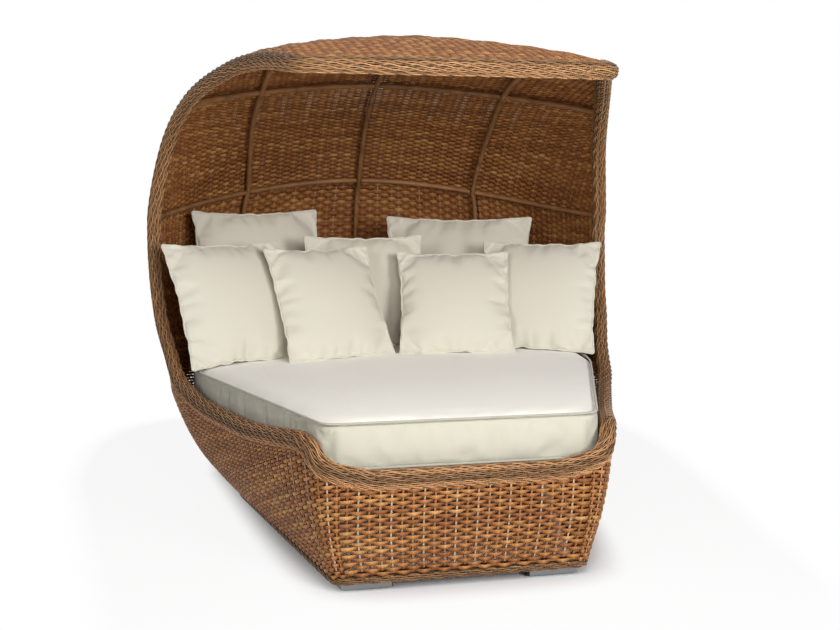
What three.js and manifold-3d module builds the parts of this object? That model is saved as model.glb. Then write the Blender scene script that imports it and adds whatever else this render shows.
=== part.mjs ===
// Outdoor daybed with a woven canopy: a round-backed basket shell on an aluminium tube frame, with
// loose cushions. Millimetres, +Z up, front of the seat towards -Y, origin on the floor under the
// middle of the whole object.
import * as THREE from "three";
import { mergeVertices } from "three/addons/utils/BufferGeometryUtils.js";
import Module from "manifold-3d";

const wasm = await Module();
wasm.setup();

// Driving dimensions of the shell
const canopyHeight = 1766;
const frontHalfWidth = 484;
const centreDepth = 1200;
const backRadius = 1040;
const frontLean = 100;
const cornerRadius = 100;
const sideSplayShare = 0.39;
const skinThickness = 9;

// The rolled rim
const seatRimHeight = 355;
const armRimHeight = 415;
const cornerRimHeight = 459;
const rollDepth = 66;
const rollThickness = 54;
const rollInset = 19;
const canopyCornerLeg = 60;
const rimTubeDiameter = 26;
const boreClearance = 2;

// The tube frame and the ribs
const frameTubeDiameter = 30;
const uprightDiameter = 28;
const ribDiameter = 24;
const ribStandoff = 7;
const ribSpread = 510;
const barWidth = 25;
const barHeight = 25;

// Feet and the bottom edge
const glideHeight = 5;
const glideDiameter = 18;
const footHeight = 25;
const footWidth = 45;
const frontFootLength = 155;
const rearFootLength = 200;
const rearFootAngle = 41;
const footInset = 30;
const capThickness = 3;
const glideEndMargin = 22;
const trimHeight = 22;
const trimThickness = 20;
const trimInset = 6;

// Seat deck, mattress and pillows
const deckThickness = 14;
const mattressBottom = 380;
const mattressThickness = 140;
const mattressCrown = 10;
const mattressSideGap = 56;
const mattressCentreSetback = 50;
const mattressBackGap = 190;
const mattressFront = -18;
const mattressCorner = 55;
const mattressSplayShare = 0.36;
const mattressBulge = 7;
const mattressEdge = 6;
const scatterPillowSize = 485;
const backPillowSize = 600;
const pillowThickness = 140;
const pillowSeam = 8;

// Clearances: between touching pieces, between neighbouring skins, and between stacked soft pieces
const clearance = 0.4;
const seamGap = 0.8;
const restGap = 0.5;

// Shell outline by height: each row is a share of the canopy height, then a share of the size named beside it
const sideWidthShares = [
  [0, 0.816], [0.017, 0.835], [0.057, 0.876], [0.113, 0.934], [0.17, 0.973], [0.238, 1], [0.34, 1.023],
];
const splayShares = [[0, 0.551], [0.017, 0.585], [0.057, 0.697], [0.113, 0.821], [0.17, 0.91], [0.238, 1]];
const centreShares = [[0, 0.85], [0.017, 0.875], [0.057, 0.933], [0.113, 0.975], [0.17, 0.992], [0.238, 1]];
const flareShares = [
  [0.238, 1], [0.311, 1.01], [0.396, 1.048], [0.481, 1.072], [0.566, 1.081], [0.623, 1.076], [0.68, 1.059],
  [0.764, 1.003],
];
const backShares = [
  [0, 0.654], [0.017, 0.692], [0.057, 0.769], [0.113, 0.846], [0.17, 0.899], [0.238, 0.933], [0.34, 0.971],
  [0.453, 1], [0.538, 0.997], [0.623, 0.964], [0.68, 0.918], [0.719, 0.865], [0.764, 0.808],
];
const leanShares = [[0, 0.27], [0.017, 0.3], [0.198, 0.82], [0.34, 1]];
const cornerShares = [[0, 0.5], [0.017, 0.5], [0.17, 0.85], [0.22, 1]];

// Canopy hoops from the front edge back: half width, end depth, end height, middle depth, middle height,
// fullness of the arch and of its sweep. Widths are shares of the widest radius, depths of the centre depth,
// heights of the canopy height.
const hoopShares = [
  [0.4845, 0.037, 0.895, 0.025, 0.8955, 2, 1],
  [0.5825, 0.264, 0.917, 0.4, 0.967, 1.6, 1],
  [0.689, 0.48, 0.914, 0.817, 1, 1.5, 1],
  [0.8196, 0.754, 0.875, 1.233, 0.9625, 1.5, 1.03],
  [0.9206, 0.971, 0.784, 1.558, 0.8635, 1.65, 1.2],
];
const widestHeightShare = 0.566;
const lowerHoopEndShare = 0.623;
const lowerHoopMiddleShare = 0.7185;
const lowerHoopDepthShare = 1.092;
const hoopContinuationShare = 0.14;
const upperHoopShare = 3.15;
const ribSpreadShares = [[0, 0.843], [2, 0.951], [3, 1], [4, 1.069], [5, 1.084]];

// Rim below the lower hoop: share of the centre depth, share of the rise from arm rim to hoop end
const rimSideShares = [[1.106, 0.87], [1.077, 0.59], [0.98, 0.31], [0.81, 0.09], [0.6, 0.01], [0.375, 0]];
// Rim towards the front corner: share of the centre depth, share of the rise from arm rim to corner rim
const rimForwardShares = [[0.122, 0.68], [0.03, 1]];
// Rim round the front corner: place along the plan outline, share of the rise from seat rim to corner rim
const rimCornerShares = [[1.97, 0.92], [2.12, 0.66], [2.5, 0.4], [3, 0.2], [3.3, 0], [4, 0]];
const rollSplitShare = 3.3;

const hoopPointCount = 33;
const shellInsideShare = 0.55;

const materials = {
  wicker: { color: 0xa5733f, roughness: 0.7, metalness: 0 },
  rim: { color: 0x94663b, roughness: 0.7, metalness: 0 },
  rib: { color: 0x7d5230, roughness: 0.7, metalness: 0 },
  frame: { color: 0x6a4a30, roughness: 0.5, metalness: 0.2 },
  aluminium: { color: 0xb9bcc0, roughness: 0.35, metalness: 0.9 },
  plastic: { color: 0x1c1c1c, roughness: 0.6, metalness: 0 },
  glide: { color: 0xc9c9c6, roughness: 0.5, metalness: 0 },
  cushion: { color: 0xe2dccb, roughness: 0.9, metalness: 0 },
};

const daybed = new THREE.Group();

function addPiece(name, geometry, material, parent = daybed) {
  const mesh = new THREE.Mesh(geometry, new THREE.MeshStandardMaterial(materials[material]));
  mesh.name = name;
  parent.add(mesh);
  return mesh;
}

// A smooth curve through rows of place and value that never overshoots, held at its ends
function tableCurve(rows) {
  const steps = rows.slice(1).map((row, i) => row[0] - rows[i][0]);
  const slopes = rows.slice(1).map((row, i) => (row[1] - rows[i][1]) / steps[i]);
  const tangents = rows.map((row, i) => {
    if (i === 0) return slopes[0];
    if (i === rows.length - 1) return slopes[i - 1];
    if (slopes[i - 1] * slopes[i] <= 0) return 0;
    const before = 2 * steps[i] + steps[i - 1];
    const after = steps[i] + 2 * steps[i - 1];
    return (before + after) / (before / slopes[i - 1] + after / slopes[i]);
  });
  return (place) => {
    const x = THREE.MathUtils.clamp(place, rows[0][0], rows.at(-1)[0]);
    const i = Math.max(0, rows.findLastIndex((row, k) => row[0] <= x && k < rows.length - 1));
    const h = steps[i];
    const t = (x - rows[i][0]) / h;
    const flat = t * t * (3 - 2 * t);
    const rise = t * (1 - t) * h * ((1 - t) * tangents[i] - t * tangents[i + 1]);
    return rows[i][1] * (1 - flat) + rows[i + 1][1] * flat + rise;
  };
}

const sideWidthAt = tableCurve(sideWidthShares);
const splayAt = tableCurve(splayShares);
const centreAt = tableCurve(centreShares);
const flareAt = tableCurve(flareShares);
const backAt = tableCurve(backShares);
const leanAt = tableCurve(leanShares);
const cornerAt = tableCurve(cornerShares);
const ribSpreadAt = tableCurve(ribSpreadShares);

// The shell's plan outline at one height
function shellOutline(z) {
  const height = z / canopyHeight;
  const half = frontHalfWidth * sideWidthAt(height);
  const splay = sideSplayShare * splayAt(height);
  const centre = centreDepth * centreAt(height);
  const tangentRadius = (half + splay * centre) / Math.hypot(1, splay);
  return {
    half, splay, centre,
    side: tangentRadius * flareAt(height),
    back: backRadius * backAt(height),
    front: -frontLean * leanAt(height),
    corner: cornerRadius * cornerAt(height),
  };
}

// A point at an angle round the curved back, where 0 is straight behind
function backPoint(outline, angle) {
  const behind = Math.max(0, Math.cos(angle));
  const radius = outline.side + (outline.back - outline.side) * behind * behind;
  return new THREE.Vector2(radius * Math.sin(angle), outline.centre + radius * Math.cos(angle));
}

const tangentAngle = (outline) => Math.PI / 2 + Math.atan(outline.splay);

// Half of a plan outline by place, from 0 at the middle of the back: where the round back, the side,
// the corner and the front's half end. A negative place is on the mirrored half.
const endShares = { back: 1, side: 2, corner: 3, front: 4 };

function outlinePoint(outline, place) {
  const w = Math.abs(place);
  const mirror = place < 0 ? -1 : 1;
  const turn = tangentAngle(outline);
  if (w <= endShares.back) {
    const p = backPoint(outline, w * turn);
    return new THREE.Vector2(mirror * p.x, p.y);
  }
  const start = backPoint(outline, turn);
  const apex = new THREE.Vector2(start.x + outline.splay * (outline.front - start.y), outline.front);
  const along = start.clone().sub(apex).normalize();
  const halfAngle = Math.acos(-along.x) / 2;
  const leg = outline.corner / Math.tan(halfAngle);
  const cornerStart = apex.clone().addScaledVector(along, leg);
  const cornerEnd = new THREE.Vector2(apex.x - leg, apex.y);
  let p;
  const round = w - endShares.side;
  if (w <= endShares.side) p = start.lerp(cornerStart, w - endShares.back);
  else if (w <= endShares.corner)
    p = cornerStart.lerp(apex, round).lerp(apex.lerp(cornerEnd, round), round);
  else p = cornerEnd.lerp(new THREE.Vector2(0, outline.front), w - endShares.corner);
  return new THREE.Vector2(mirror * p.x, p.y);
}

function wallPoint(place, z) {
  const p = outlinePoint(shellOutline(z), place);
  return new THREE.Vector3(p.x, p.y, z);
}

const shellMiddle = new THREE.Vector3(0, centreDepth * (1 - sideSplayShare / 2), 0);
const nudgeShare = 0.01;

function orientedNormal(across, up, point, inside) {
  const normal = across.cross(up).normalize();
  return normal.dot(point.clone().sub(inside)) < 0 ? normal.negate() : normal;
}

// A place on the lower wall, with its outward normal
function wallSpot(place, z) {
  const point = wallPoint(place, z);
  const rise = canopyHeight * nudgeShare;
  const mirror = place < 0 ? -1 : 1;
  const low = Math.max(0, Math.abs(place) - nudgeShare) * mirror;
  const across = wallPoint(low + 2 * nudgeShare * mirror, z).sub(wallPoint(low, z));
  const up = wallPoint(place, z + rise).sub(wallPoint(place, z - rise));
  const inside = new THREE.Vector3(shellMiddle.x, shellMiddle.y, z);
  return { point, normal: orientedNormal(across, up, point, inside) };
}

// Points spread evenly along a polyline
function spread(points, count) {
  const lengths = [0];
  points.slice(1).forEach((p, i) => lengths.push(lengths[i] + p.distanceTo(points[i])));
  const total = lengths.at(-1);
  return Array.from({ length: count }, (_, k) => {
    const target = (total * k) / (count - 1);
    const i = Math.min(points.length - 2, Math.max(0, lengths.findLastIndex((l) => l <= target)));
    const share = (target - lengths[i]) / (lengths[i + 1] - lengths[i]);
    return points[i].clone().lerp(points[i + 1], share);
  });
}

const widestRadius = shellOutline(canopyHeight * widestHeightShare).side;
const fineCount = 240;

function archPoints([width, endDepth, endHeight, middleDepth, middleHeight, fullness, sweep]) {
  const fine = Array.from({ length: fineCount + 1 }, (_, i) => {
    const angle = (i / fineCount) * (Math.PI / 2);
    const fall = Math.max(0, Math.cos(angle)) ** (2 / fullness);
    return new THREE.Vector3(
      widestRadius * width * Math.sin(angle) ** (2 / fullness),
      centreDepth * (endDepth + (middleDepth - endDepth) * fall),
      canopyHeight * (endHeight + (middleHeight - endHeight) * fall ** sweep),
    );
  });
  return spread(fine, hoopPointCount);
}

const lowerHoopEnd = canopyHeight * lowerHoopEndShare;
const endOutline = shellOutline(lowerHoopEnd);
const lowerHoopAngle = Math.acos((centreDepth * lowerHoopDepthShare - endOutline.centre) / endOutline.side);
const lowerHoopPlace = lowerHoopAngle / tangentAngle(endOutline);

// Height of the lower hoop above a place round the back
function lowerHoopHeight(angle) {
  const share = (Math.sin(Math.min(angle, lowerHoopAngle)) / Math.sin(lowerHoopAngle)) ** 2;
  const middle = canopyHeight * lowerHoopMiddleShare;
  return middle - (middle - lowerHoopEnd) * share;
}

function wallHoop(drop) {
  const fine = Array.from({ length: fineCount + 1 }, (_, i) => {
    const angle = (lowerHoopAngle * i) / fineCount;
    const z = lowerHoopHeight(angle) - drop;
    const p = backPoint(shellOutline(z), angle);
    return new THREE.Vector3(p.x, p.y, z);
  });
  return spread(fine, hoopPointCount);
}

const hoops = [...hoopShares.map(archPoints), wallHoop(0), wallHoop(canopyHeight * hoopContinuationShare)];
const lowerHoop = hoopShares.length;
const domeLines = hoops[0].map(
  (_, i) => new THREE.CatmullRomCurve3(hoops.map((hoop) => hoop[i]), false, "catmullrom", 0.5),
);

// The canopy by hoop, 0 at the front edge to the lower hoop, and by share from the middle, 0, to the rim, 1
function domePoint(hoop, share) {
  const x = Math.min(Math.abs(share), 1) * (hoopPointCount - 1);
  const i = Math.min(Math.floor(x), hoopPointCount - 2);
  const t = hoop / (hoops.length - 1);
  const p = domeLines[i].getPoint(t).lerp(domeLines[i + 1].getPoint(t), x - i);
  if (share < 0) p.x = -p.x;
  return p;
}

const domeInside = new THREE.Vector3(0, centreDepth, canopyHeight * shellInsideShare);

function domeSpot(hoop, share) {
  const point = domePoint(hoop, share);
  const side = share < 0 ? -1 : 1;
  const low = Math.min(Math.abs(share), 1 - 2 * nudgeShare);
  const across = domePoint(hoop, side * (low + 2 * nudgeShare)).sub(domePoint(hoop, side * low));
  const start = Math.max(0, hoop - nudgeShare);
  const up = domePoint(start, share).sub(domePoint(start + 2 * nudgeShare, share));
  return { point, normal: orientedNormal(across, up, point, domeInside) };
}

const sunk = (spot, depth) => spot.point.clone().addScaledVector(spot.normal, -depth);
const mirrored = (spot) => ({
  point: new THREE.Vector3(-spot.point.x, spot.point.y, spot.point.z),
  normal: new THREE.Vector3(-spot.normal.x, spot.normal.y, spot.normal.z),
});

// Place along the wall outline at which the wall reaches a depth
function placeAtDepth(depth, z) {
  let near = 0;
  let far = endShares.side;
  for (let i = 0; i < 40; i++) {
    const middle = (near + far) / 2;
    if (wallPoint(middle, z).y > depth) near = middle;
    else far = middle;
  }
  return near;
}

// Geometry from shared points and faces, turned so that the faces point out
function solidGeometry(points, faces) {
  const geometry = new THREE.BufferGeometry().setFromPoints(points);
  let volume = 0;
  for (const [a, b, c] of faces) {
    volume += points[a].dot(points[b].clone().cross(points[c]));
  }
  const outward = volume < 0 ? faces.map(([a, b, c]) => [a, c, b]) : faces;
  geometry.setIndex(outward.flat());
  return geometry;
}

const quad = (a, b, c, d) => [[a, b, c], [a, c, d]];

// A closed slab between two grids of points
function slab(outer, inner) {
  const rows = outer.length;
  const columns = outer[0].length;
  const points = [...outer.flat(), ...inner.flat()];
  const at = (layer, r, c) => layer * rows * columns + r * columns + c;
  const faces = [];
  for (let r = 0; r < rows - 1; r++) {
    for (let c = 0; c < columns - 1; c++) {
      faces.push(...quad(at(0, r, c), at(0, r, c + 1), at(0, r + 1, c + 1), at(0, r + 1, c)));
      faces.push(...quad(at(1, r, c), at(1, r + 1, c), at(1, r + 1, c + 1), at(1, r, c + 1)));
    }
  }
  for (let r = 0; r < rows - 1; r++) {
    faces.push(...quad(at(0, r, 0), at(0, r + 1, 0), at(1, r + 1, 0), at(1, r, 0)));
    const last = columns - 1;
    faces.push(...quad(at(0, r, last), at(1, r, last), at(1, r + 1, last), at(0, r + 1, last)));
  }
  for (let c = 0; c < columns - 1; c++) {
    faces.push(...quad(at(0, 0, c), at(1, 0, c), at(1, 0, c + 1), at(0, 0, c + 1)));
    const last = rows - 1;
    faces.push(...quad(at(0, last, c), at(0, last, c + 1), at(1, last, c + 1), at(1, last, c)));
  }
  return solidGeometry(points, faces);
}

const skinSlab = (spots) =>
  slab(
    spots.map((row) => row.map((spot) => spot.point)),
    spots.map((row) => row.map((spot) => sunk(spot, skinThickness))),
  );

// Rings of points joined into a tube: closed on itself, or capped at both ends
function lofted(rings, closed = false) {
  const count = rings[0].length;
  const points = rings.flat();
  const faces = [];
  const last = closed ? rings.length : rings.length - 1;
  for (let r = 0; r < last; r++) {
    const next = (r + 1) % rings.length;
    for (let k = 0; k < count; k++) {
      const l = (k + 1) % count;
      faces.push(...quad(r * count + k, r * count + l, next * count + l, next * count + k));
    }
  }
  if (!closed) {
    const end = (rings.length - 1) * count;
    for (let k = 1; k < count - 1; k++) {
      faces.push([0, k + 1, k]);
      faces.push([end, end + k, end + k + 1]);
    }
  }
  return solidGeometry(points, faces);
}

// A pipe with a bore: outer and inner rings joined at both ends
function loftedPipe(outer, inner) {
  const rows = outer.length;
  const columns = outer[0].length;
  const points = [...outer.flat(), ...inner.flat()];
  const at = (layer, r, c) => (layer * rows + r) * columns + (c % columns);
  const faces = [];
  for (let c = 0; c < columns; c++) {
    for (let r = 0; r < rows - 1; r++) {
      faces.push(...quad(at(0, r, c), at(0, r, c + 1), at(0, r + 1, c + 1), at(0, r + 1, c)));
      faces.push(...quad(at(1, r, c), at(1, r + 1, c), at(1, r + 1, c + 1), at(1, r, c + 1)));
    }
    faces.push(...quad(at(0, 0, c), at(1, 0, c), at(1, 0, c + 1), at(0, 0, c + 1)));
    const end = rows - 1;
    faces.push(...quad(at(0, end, c), at(0, end, c + 1), at(1, end, c + 1), at(1, end, c)));
  }
  return solidGeometry(points, faces);
}

// Frames along a run of spots: the section stands on the normal and on the direction across the run
function frames(spots, depth, closed = false) {
  const points = spots.map((spot) => sunk(spot, depth));
  return points.map((point, i) => {
    const before = points[i - 1] ?? (closed ? points.at(-1) : point);
    const after = points[i + 1] ?? (closed ? points[0] : point);
    const along = after.clone().sub(before).normalize();
    const out = spots[i].normal.clone().addScaledVector(along, -spots[i].normal.dot(along)).normalize();
    return { point, along, out, across: along.clone().cross(out) };
  });
}

function ringAt(frame, halfAcross, halfOut, sides, fullness = 2) {
  return Array.from({ length: sides }, (_, k) => {
    const angle = ((k + 0.5) * 2 * Math.PI) / sides;
    const c = Math.cos(angle);
    const s = Math.sin(angle);
    return frame.point
      .clone()
      .addScaledVector(frame.across, halfAcross * Math.sign(c) * Math.abs(c) ** (2 / fullness))
      .addScaledVector(frame.out, halfOut * Math.sign(s) * Math.abs(s) ** (2 / fullness));
  });
}

// How far a ring's flats lie from its middle
const flatReach = (half, sides, fullness = 2) => half * Math.cos(Math.PI / sides) ** (2 / fullness);

function solid(geometry) {
  const bare = geometry.clone();
  bare.deleteAttribute("normal");
  bare.deleteAttribute("uv");
  const merged = mergeVertices(bare);
  return new wasm.Manifold(
    new wasm.Mesh({
      numProp: 3,
      vertProperties: merged.attributes.position.array,
      triVerts: new Uint32Array(merged.index.array),
    }),
  );
}

function fromSolid(made) {
  const mesh = made.getMesh();
  const geometry = new THREE.BufferGeometry();
  geometry.setAttribute("position", new THREE.BufferAttribute(mesh.vertProperties, 3));
  geometry.setIndex(new THREE.BufferAttribute(mesh.triVerts, 1));
  return geometry;
}

// A geometry with other pieces' spaces cut out of it, without the offcuts
function cut(geometry, ...spaces) {
  const left = spaces.reduce((rest, space) => rest.subtract(space), solid(geometry));
  const larger = (one, other) => (other.volume() > one.volume() ? other : one);
  return fromSolid(left.decompose().reduce(larger));
}

const steps = (from, to, count) =>
  Array.from({ length: count + 1 }, (_, i) => from + ((to - from) * i) / count);

// The rim line on the right half, from the middle of the canopy's front edge to the middle of the seat's
const frontShare = 1 - canopyCornerLeg / domePoint(0, 1).x;
const sideStart = canopyCornerLeg / domePoint(0, 1).distanceTo(domePoint(1, 1));
const cornerStepCount = 3;

function canopyCorner() {
  const from = domeSpot(0, frontShare);
  const apex = domeSpot(0, 1);
  const to = domeSpot(sideStart, 1);
  return steps(0, 1, cornerStepCount).slice(1, -1).map((t) => ({
    point: from.point.clone().lerp(apex.point, t).lerp(apex.point.clone().lerp(to.point, t), t),
    normal: from.normal.clone().lerp(to.normal, t).normalize(),
  }));
}

const canopyEdgeSpots = steps(0, frontShare, 2).map((share) => domeSpot(0, share));
const canopySideSpots = steps(sideStart, lowerHoop, 10).map((hoop) => domeSpot(hoop, 1));

const armRise = lowerHoopEnd - armRimHeight;
const cornerRise = cornerRimHeight - armRimHeight;
const seatRise = cornerRimHeight - seatRimHeight;
const rimControls = [
  new THREE.Vector2(lowerHoopPlace, lowerHoopEnd),
  ...rimSideShares.map(([depth, rise]) => {
    const z = armRimHeight + armRise * rise;
    return new THREE.Vector2(placeAtDepth(centreDepth * depth, z), z);
  }),
  ...rimForwardShares.map(([depth, rise]) => {
    const z = armRimHeight + cornerRise * rise;
    return new THREE.Vector2(placeAtDepth(centreDepth * depth, z), z);
  }),
  ...rimCornerShares.map(([place, rise]) => new THREE.Vector2(place, seatRimHeight + seatRise * rise)),
];
const rimStepCount = 2;
const rimCurveX = tableCurve(rimControls.map((control, i) => [i, control.x]));
const rimCurveZ = tableCurve(rimControls.map((control, i) => [i, control.y]));
const rimKnots = steps(0, rimControls.length - 1, (rimControls.length - 1) * rimStepCount);
const rimPlaces = rimKnots.map((t) => ({ place: rimCurveX(t), z: rimCurveZ(t) }));
const rimWallSpots = rimPlaces.slice(1).map(({ place, z }) => wallSpot(place, z));

const cornerSpots = canopyCorner();
const rimSpots = [...canopyEdgeSpots, ...cornerSpots, ...canopySideSpots, ...rimWallSpots];
const rimLoop = [...rimSpots, ...rimSpots.slice(1, -1).reverse().map(mirrored)];
const rollSideCount = 8;
const rimTubeSideCount = 6;
const tubeSideCount = 8;
const rollFullnessShare = 2.4;
const boreRadius = rimTubeDiameter / 2 + boreClearance;

const cutterDepth = rollDepth / 2 + clearance;
const cutterThickness = rollThickness / 2 + clearance;
const rollCutter = solid(
  lofted(
    frames(rimLoop, rollInset, true).map((frame) =>
      ringAt(frame, cutterDepth, cutterThickness, rollSideCount, rollFullnessShare),
    ),
    true,
  ),
);

const rimFrames = frames(rimLoop, rollInset, true);
const loopCount = rimLoop.length;
const splitIndex = rimSpots.length - rimPlaces.filter(({ place }) => place > rollSplitShare).length;
const cornerIndex = canopyEdgeSpots.length + cornerSpots.length;
const rollRuns = {
  canopy_front_roll: [-cornerIndex, cornerIndex],
  side_roll_right: [cornerIndex, splitIndex],
  seat_front_roll: [splitIndex, loopCount - splitIndex],
  side_roll_left: [loopCount - splitIndex, loopCount - cornerIndex],
};

for (const [name, [first, last]] of Object.entries(rollRuns)) {
  const run = steps(first, last, last - first).map((i) => {
    const frame = rimFrames.at(i % loopCount);
    return { ...frame, point: frame.point.clone() };
  });
  run[0].point.addScaledVector(run[0].along, clearance / 2);
  run.at(-1).point.addScaledVector(run.at(-1).along, -clearance / 2);
  const outer = run.map((frame) =>
    ringAt(frame, rollDepth / 2, rollThickness / 2, rollSideCount, rollFullnessShare),
  );
  const inner = run.map((frame) => ringAt(frame, boreRadius, boreRadius, rollSideCount));
  addPiece(name, loftedPipe(outer, inner), "rim");
}

const rimTubeRings = rimFrames.map((frame) =>
  ringAt(frame, rimTubeDiameter / 2, rimTubeDiameter / 2, rimTubeSideCount),
);
addPiece("rim_tube", lofted(rimTubeRings, true), "frame");

// The skins: the canopy parts at the upper hoop, and meets the walls at the lower hoop on the same stations
const halfSeam = seamGap / 2;
const baseBottom = glideHeight + footHeight + clearance;
const trimReach = flatReach(trimHeight / 2, tubeSideCount, rollFullnessShare);
const skinBottom = baseBottom + 2 * trimReach + clearance;

function shareAtWidth(hoop, width) {
  let near = 0;
  let far = 1;
  for (let i = 0; i < 40; i++) {
    const middle = (near + far) / 2;
    if (domePoint(hoop, middle).x < width) near = middle;
    else far = middle;
  }
  return near;
}

function angleAtShare(share) {
  const p = domePoint(lowerHoop, share);
  return Math.atan2(p.x, p.y - shellOutline(p.z).centre);
}

const ribShare = shareAtWidth(lowerHoop, ribSpread * ribSpreadAt(lowerHoop));
const ribAngle = angleAtShare(ribShare);
const ribPlace = (z) => ribAngle / tangentAngle(shellOutline(z));
const backShareSteps = steps(-ribShare, ribShare, 8);
const sideShareSteps = steps(ribShare, 1, 6);
const canopyShares = [
  ...sideShareSteps.slice(1).reverse().map((share) => -share),
  ...backShareSteps,
  ...sideShareSteps.slice(1),
];
const hoopSpan = domePoint(upperHoopShare, 0).distanceTo(domePoint(lowerHoop, 0));
const hoopSeam = (halfSeam * (lowerHoop - upperHoopShare)) / hoopSpan;
const canopyRows = (hoops) => hoops.map((hoop) => canopyShares.map((share) => domeSpot(hoop, share)));
const frontRows = canopyRows(steps(0, upperHoopShare - hoopSeam, 8));
addPiece("canopy_front_skin", cut(skinSlab(frontRows), rollCutter), "wicker");

// A spot on the wall at a signed angle round the back
const backSpot = (angle, z) => wallSpot(angle / tangentAngle(shellOutline(z)), z);
const rearRows = canopyRows(steps(upperHoopShare + hoopSeam, lowerHoop, 5).slice(0, -1));
const seamRow = canopyShares.map((share) => {
  const angle = angleAtShare(share);
  return backSpot(angle, lowerHoopHeight(Math.abs(angle)) + halfSeam);
});
addPiece("canopy_rear_skin", cut(skinSlab([...rearRows, seamRow]), rollCutter), "wicker");

// A column of spots up the wall at one angle, from the bottom edge to the lower hoop
const hoopColumn = (angle, rows) =>
  steps(skinBottom, lowerHoopHeight(Math.abs(angle)) - halfSeam, rows).map((z) => backSpot(angle, z));
const angleSeam = seamGap / backRadius;
const wallRowCount = 10;
const backColumns = backShareSteps.map((share) => {
  const angle = angleAtShare(share);
  return hoopColumn(angle - Math.sign(angle) * (Math.abs(share) < ribShare ? 0 : angleSeam), wallRowCount);
});
addPiece("wall_back", skinSlab(backColumns), "wicker");

const sideHoopColumns = sideShareSteps.map((share, i) =>
  hoopColumn(angleAtShare(share) + (i === 0 ? angleSeam : 0), wallRowCount),
);
const skirtSeam = halfSeam / frontHalfWidth;
const cornerEndPlace = endShares.corner - skirtSeam;
const underHoop = lowerHoopEnd - rollDepth;
const forwardPlaces = rimPlaces.filter(({ place, z }) => z < underHoop && place < cornerEndPlace);
const sideRimPlaces = forwardPlaces.filter(({ place }, i) => place > lowerHoopPlace && i % 2 === 0);
const rimHeightAtPlace = (target) => {
  const i = rimPlaces.findLastIndex(({ place }) => place <= target);
  const next = rimPlaces[Math.min(i + 1, rimPlaces.length - 1)];
  const span = next.place - rimPlaces[i].place;
  const share = span > 0 ? (target - rimPlaces[i].place) / span : 0;
  return rimPlaces[i].z + (next.z - rimPlaces[i].z) * share;
};
const sideRimColumns = [
  ...sideRimPlaces,
  { place: cornerEndPlace, z: rimHeightAtPlace(cornerEndPlace) },
].map(({ place, z }) => steps(skinBottom, z, wallRowCount).map((level) => wallSpot(place, level)));
const sideColumns = [...sideHoopColumns, ...sideRimColumns];
const mirroredColumns = sideColumns.map((column) => column.map(mirrored));
addPiece("wall_right", cut(skinSlab(sideColumns), rollCutter), "wicker");
addPiece("wall_left", cut(skinSlab(mirroredColumns), rollCutter), "wicker");

const skirtPlaces = steps(endShares.corner + skirtSeam, endShares.front, 5);
const skirtHalf = skirtPlaces.map((place) => {
  const top = rimHeightAtPlace(place);
  return steps(skinBottom, top, 4).map((z) => wallSpot(place, z));
});
const skirtMirrored = skirtHalf.slice(0, -1).reverse().map((column) => column.map(mirrored));
const skirtColumns = [...skirtHalf, ...skirtMirrored];
addPiece("front_skirt", cut(skinSlab(skirtColumns), rollCutter), "wicker");

// Closed rings that follow the shell's outline
const ringPlaces = [
  ...steps(0, endShares.back, 10),
  ...steps(endShares.back, endShares.side, 2).slice(1),
  ...steps(endShares.side, endShares.corner, 3).slice(1),
  endShares.front,
];

const levelled = ({ point, normal }) => {
  return { point, normal: new THREE.Vector3(normal.x, normal.y, 0).normalize() };
};

function outlineRing(z) {
  const half = ringPlaces.map((place) => levelled(wallSpot(place, z)));
  return [...half, ...half.slice(1, -1).reverse().map(mirrored)];
}

const tubeRadius = frameTubeDiameter / 2;
const tubeReach = flatReach(tubeRadius, tubeSideCount);

const trimMiddle = baseBottom + trimReach;
const trimFrames = frames(outlineRing(trimMiddle), trimInset, true);
const trimAround = (extra) =>
  lofted(
    trimFrames.map((frame) =>
      ringAt(frame, trimHeight / 2 + extra, trimThickness / 2 + extra, tubeSideCount, rollFullnessShare),
    ),
    true,
  );
addPiece("bottom_trim", trimAround(0), "rim");

const baseInset = trimInset + trimThickness / 2 + clearance + tubeRadius;
const baseHeight = baseBottom + tubeReach;
const baseSpots = outlineRing(trimMiddle).map(({ point, normal }) => ({
  point: new THREE.Vector3(point.x, point.y, baseHeight),
  normal,
}));
const baseFrames = frames(baseSpots, baseInset, true);
const ringAround = (ringFrames, radius) =>
  lofted(ringFrames.map((frame) => ringAt(frame, radius, radius, tubeSideCount)), true);
addPiece("base_ring", ringAround(baseFrames, tubeRadius), "frame");
const edgeSpaces = [solid(ringAround(baseFrames, tubeRadius + clearance)), solid(trimAround(clearance))];

const deckTop = mattressBottom - clearance;
const deckBottom = deckTop - deckThickness;
const seatRingHeight = deckBottom - clearance - tubeReach;
const rollInner = rollInset + rollThickness / 2;
const seatRingInset = rollInner + clearance + tubeRadius + ribStandoff;
const seatFrames = frames(outlineRing(seatRingHeight), seatRingInset, true);
addPiece("seat_ring", ringAround(seatFrames, tubeRadius), "frame");

// Tubes along curves
const roundShape = (radius) => new THREE.Shape().absarc(0, 0, radius, 0, 2 * Math.PI);
const tubeAlong = (points, diameter, count) =>
  new THREE.ExtrudeGeometry(roundShape(diameter / 2), {
    steps: count,
    curveSegments: tubeSideCount / 2,
    extrudePath: new THREE.CatmullRomCurve3(points),
  });

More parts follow.
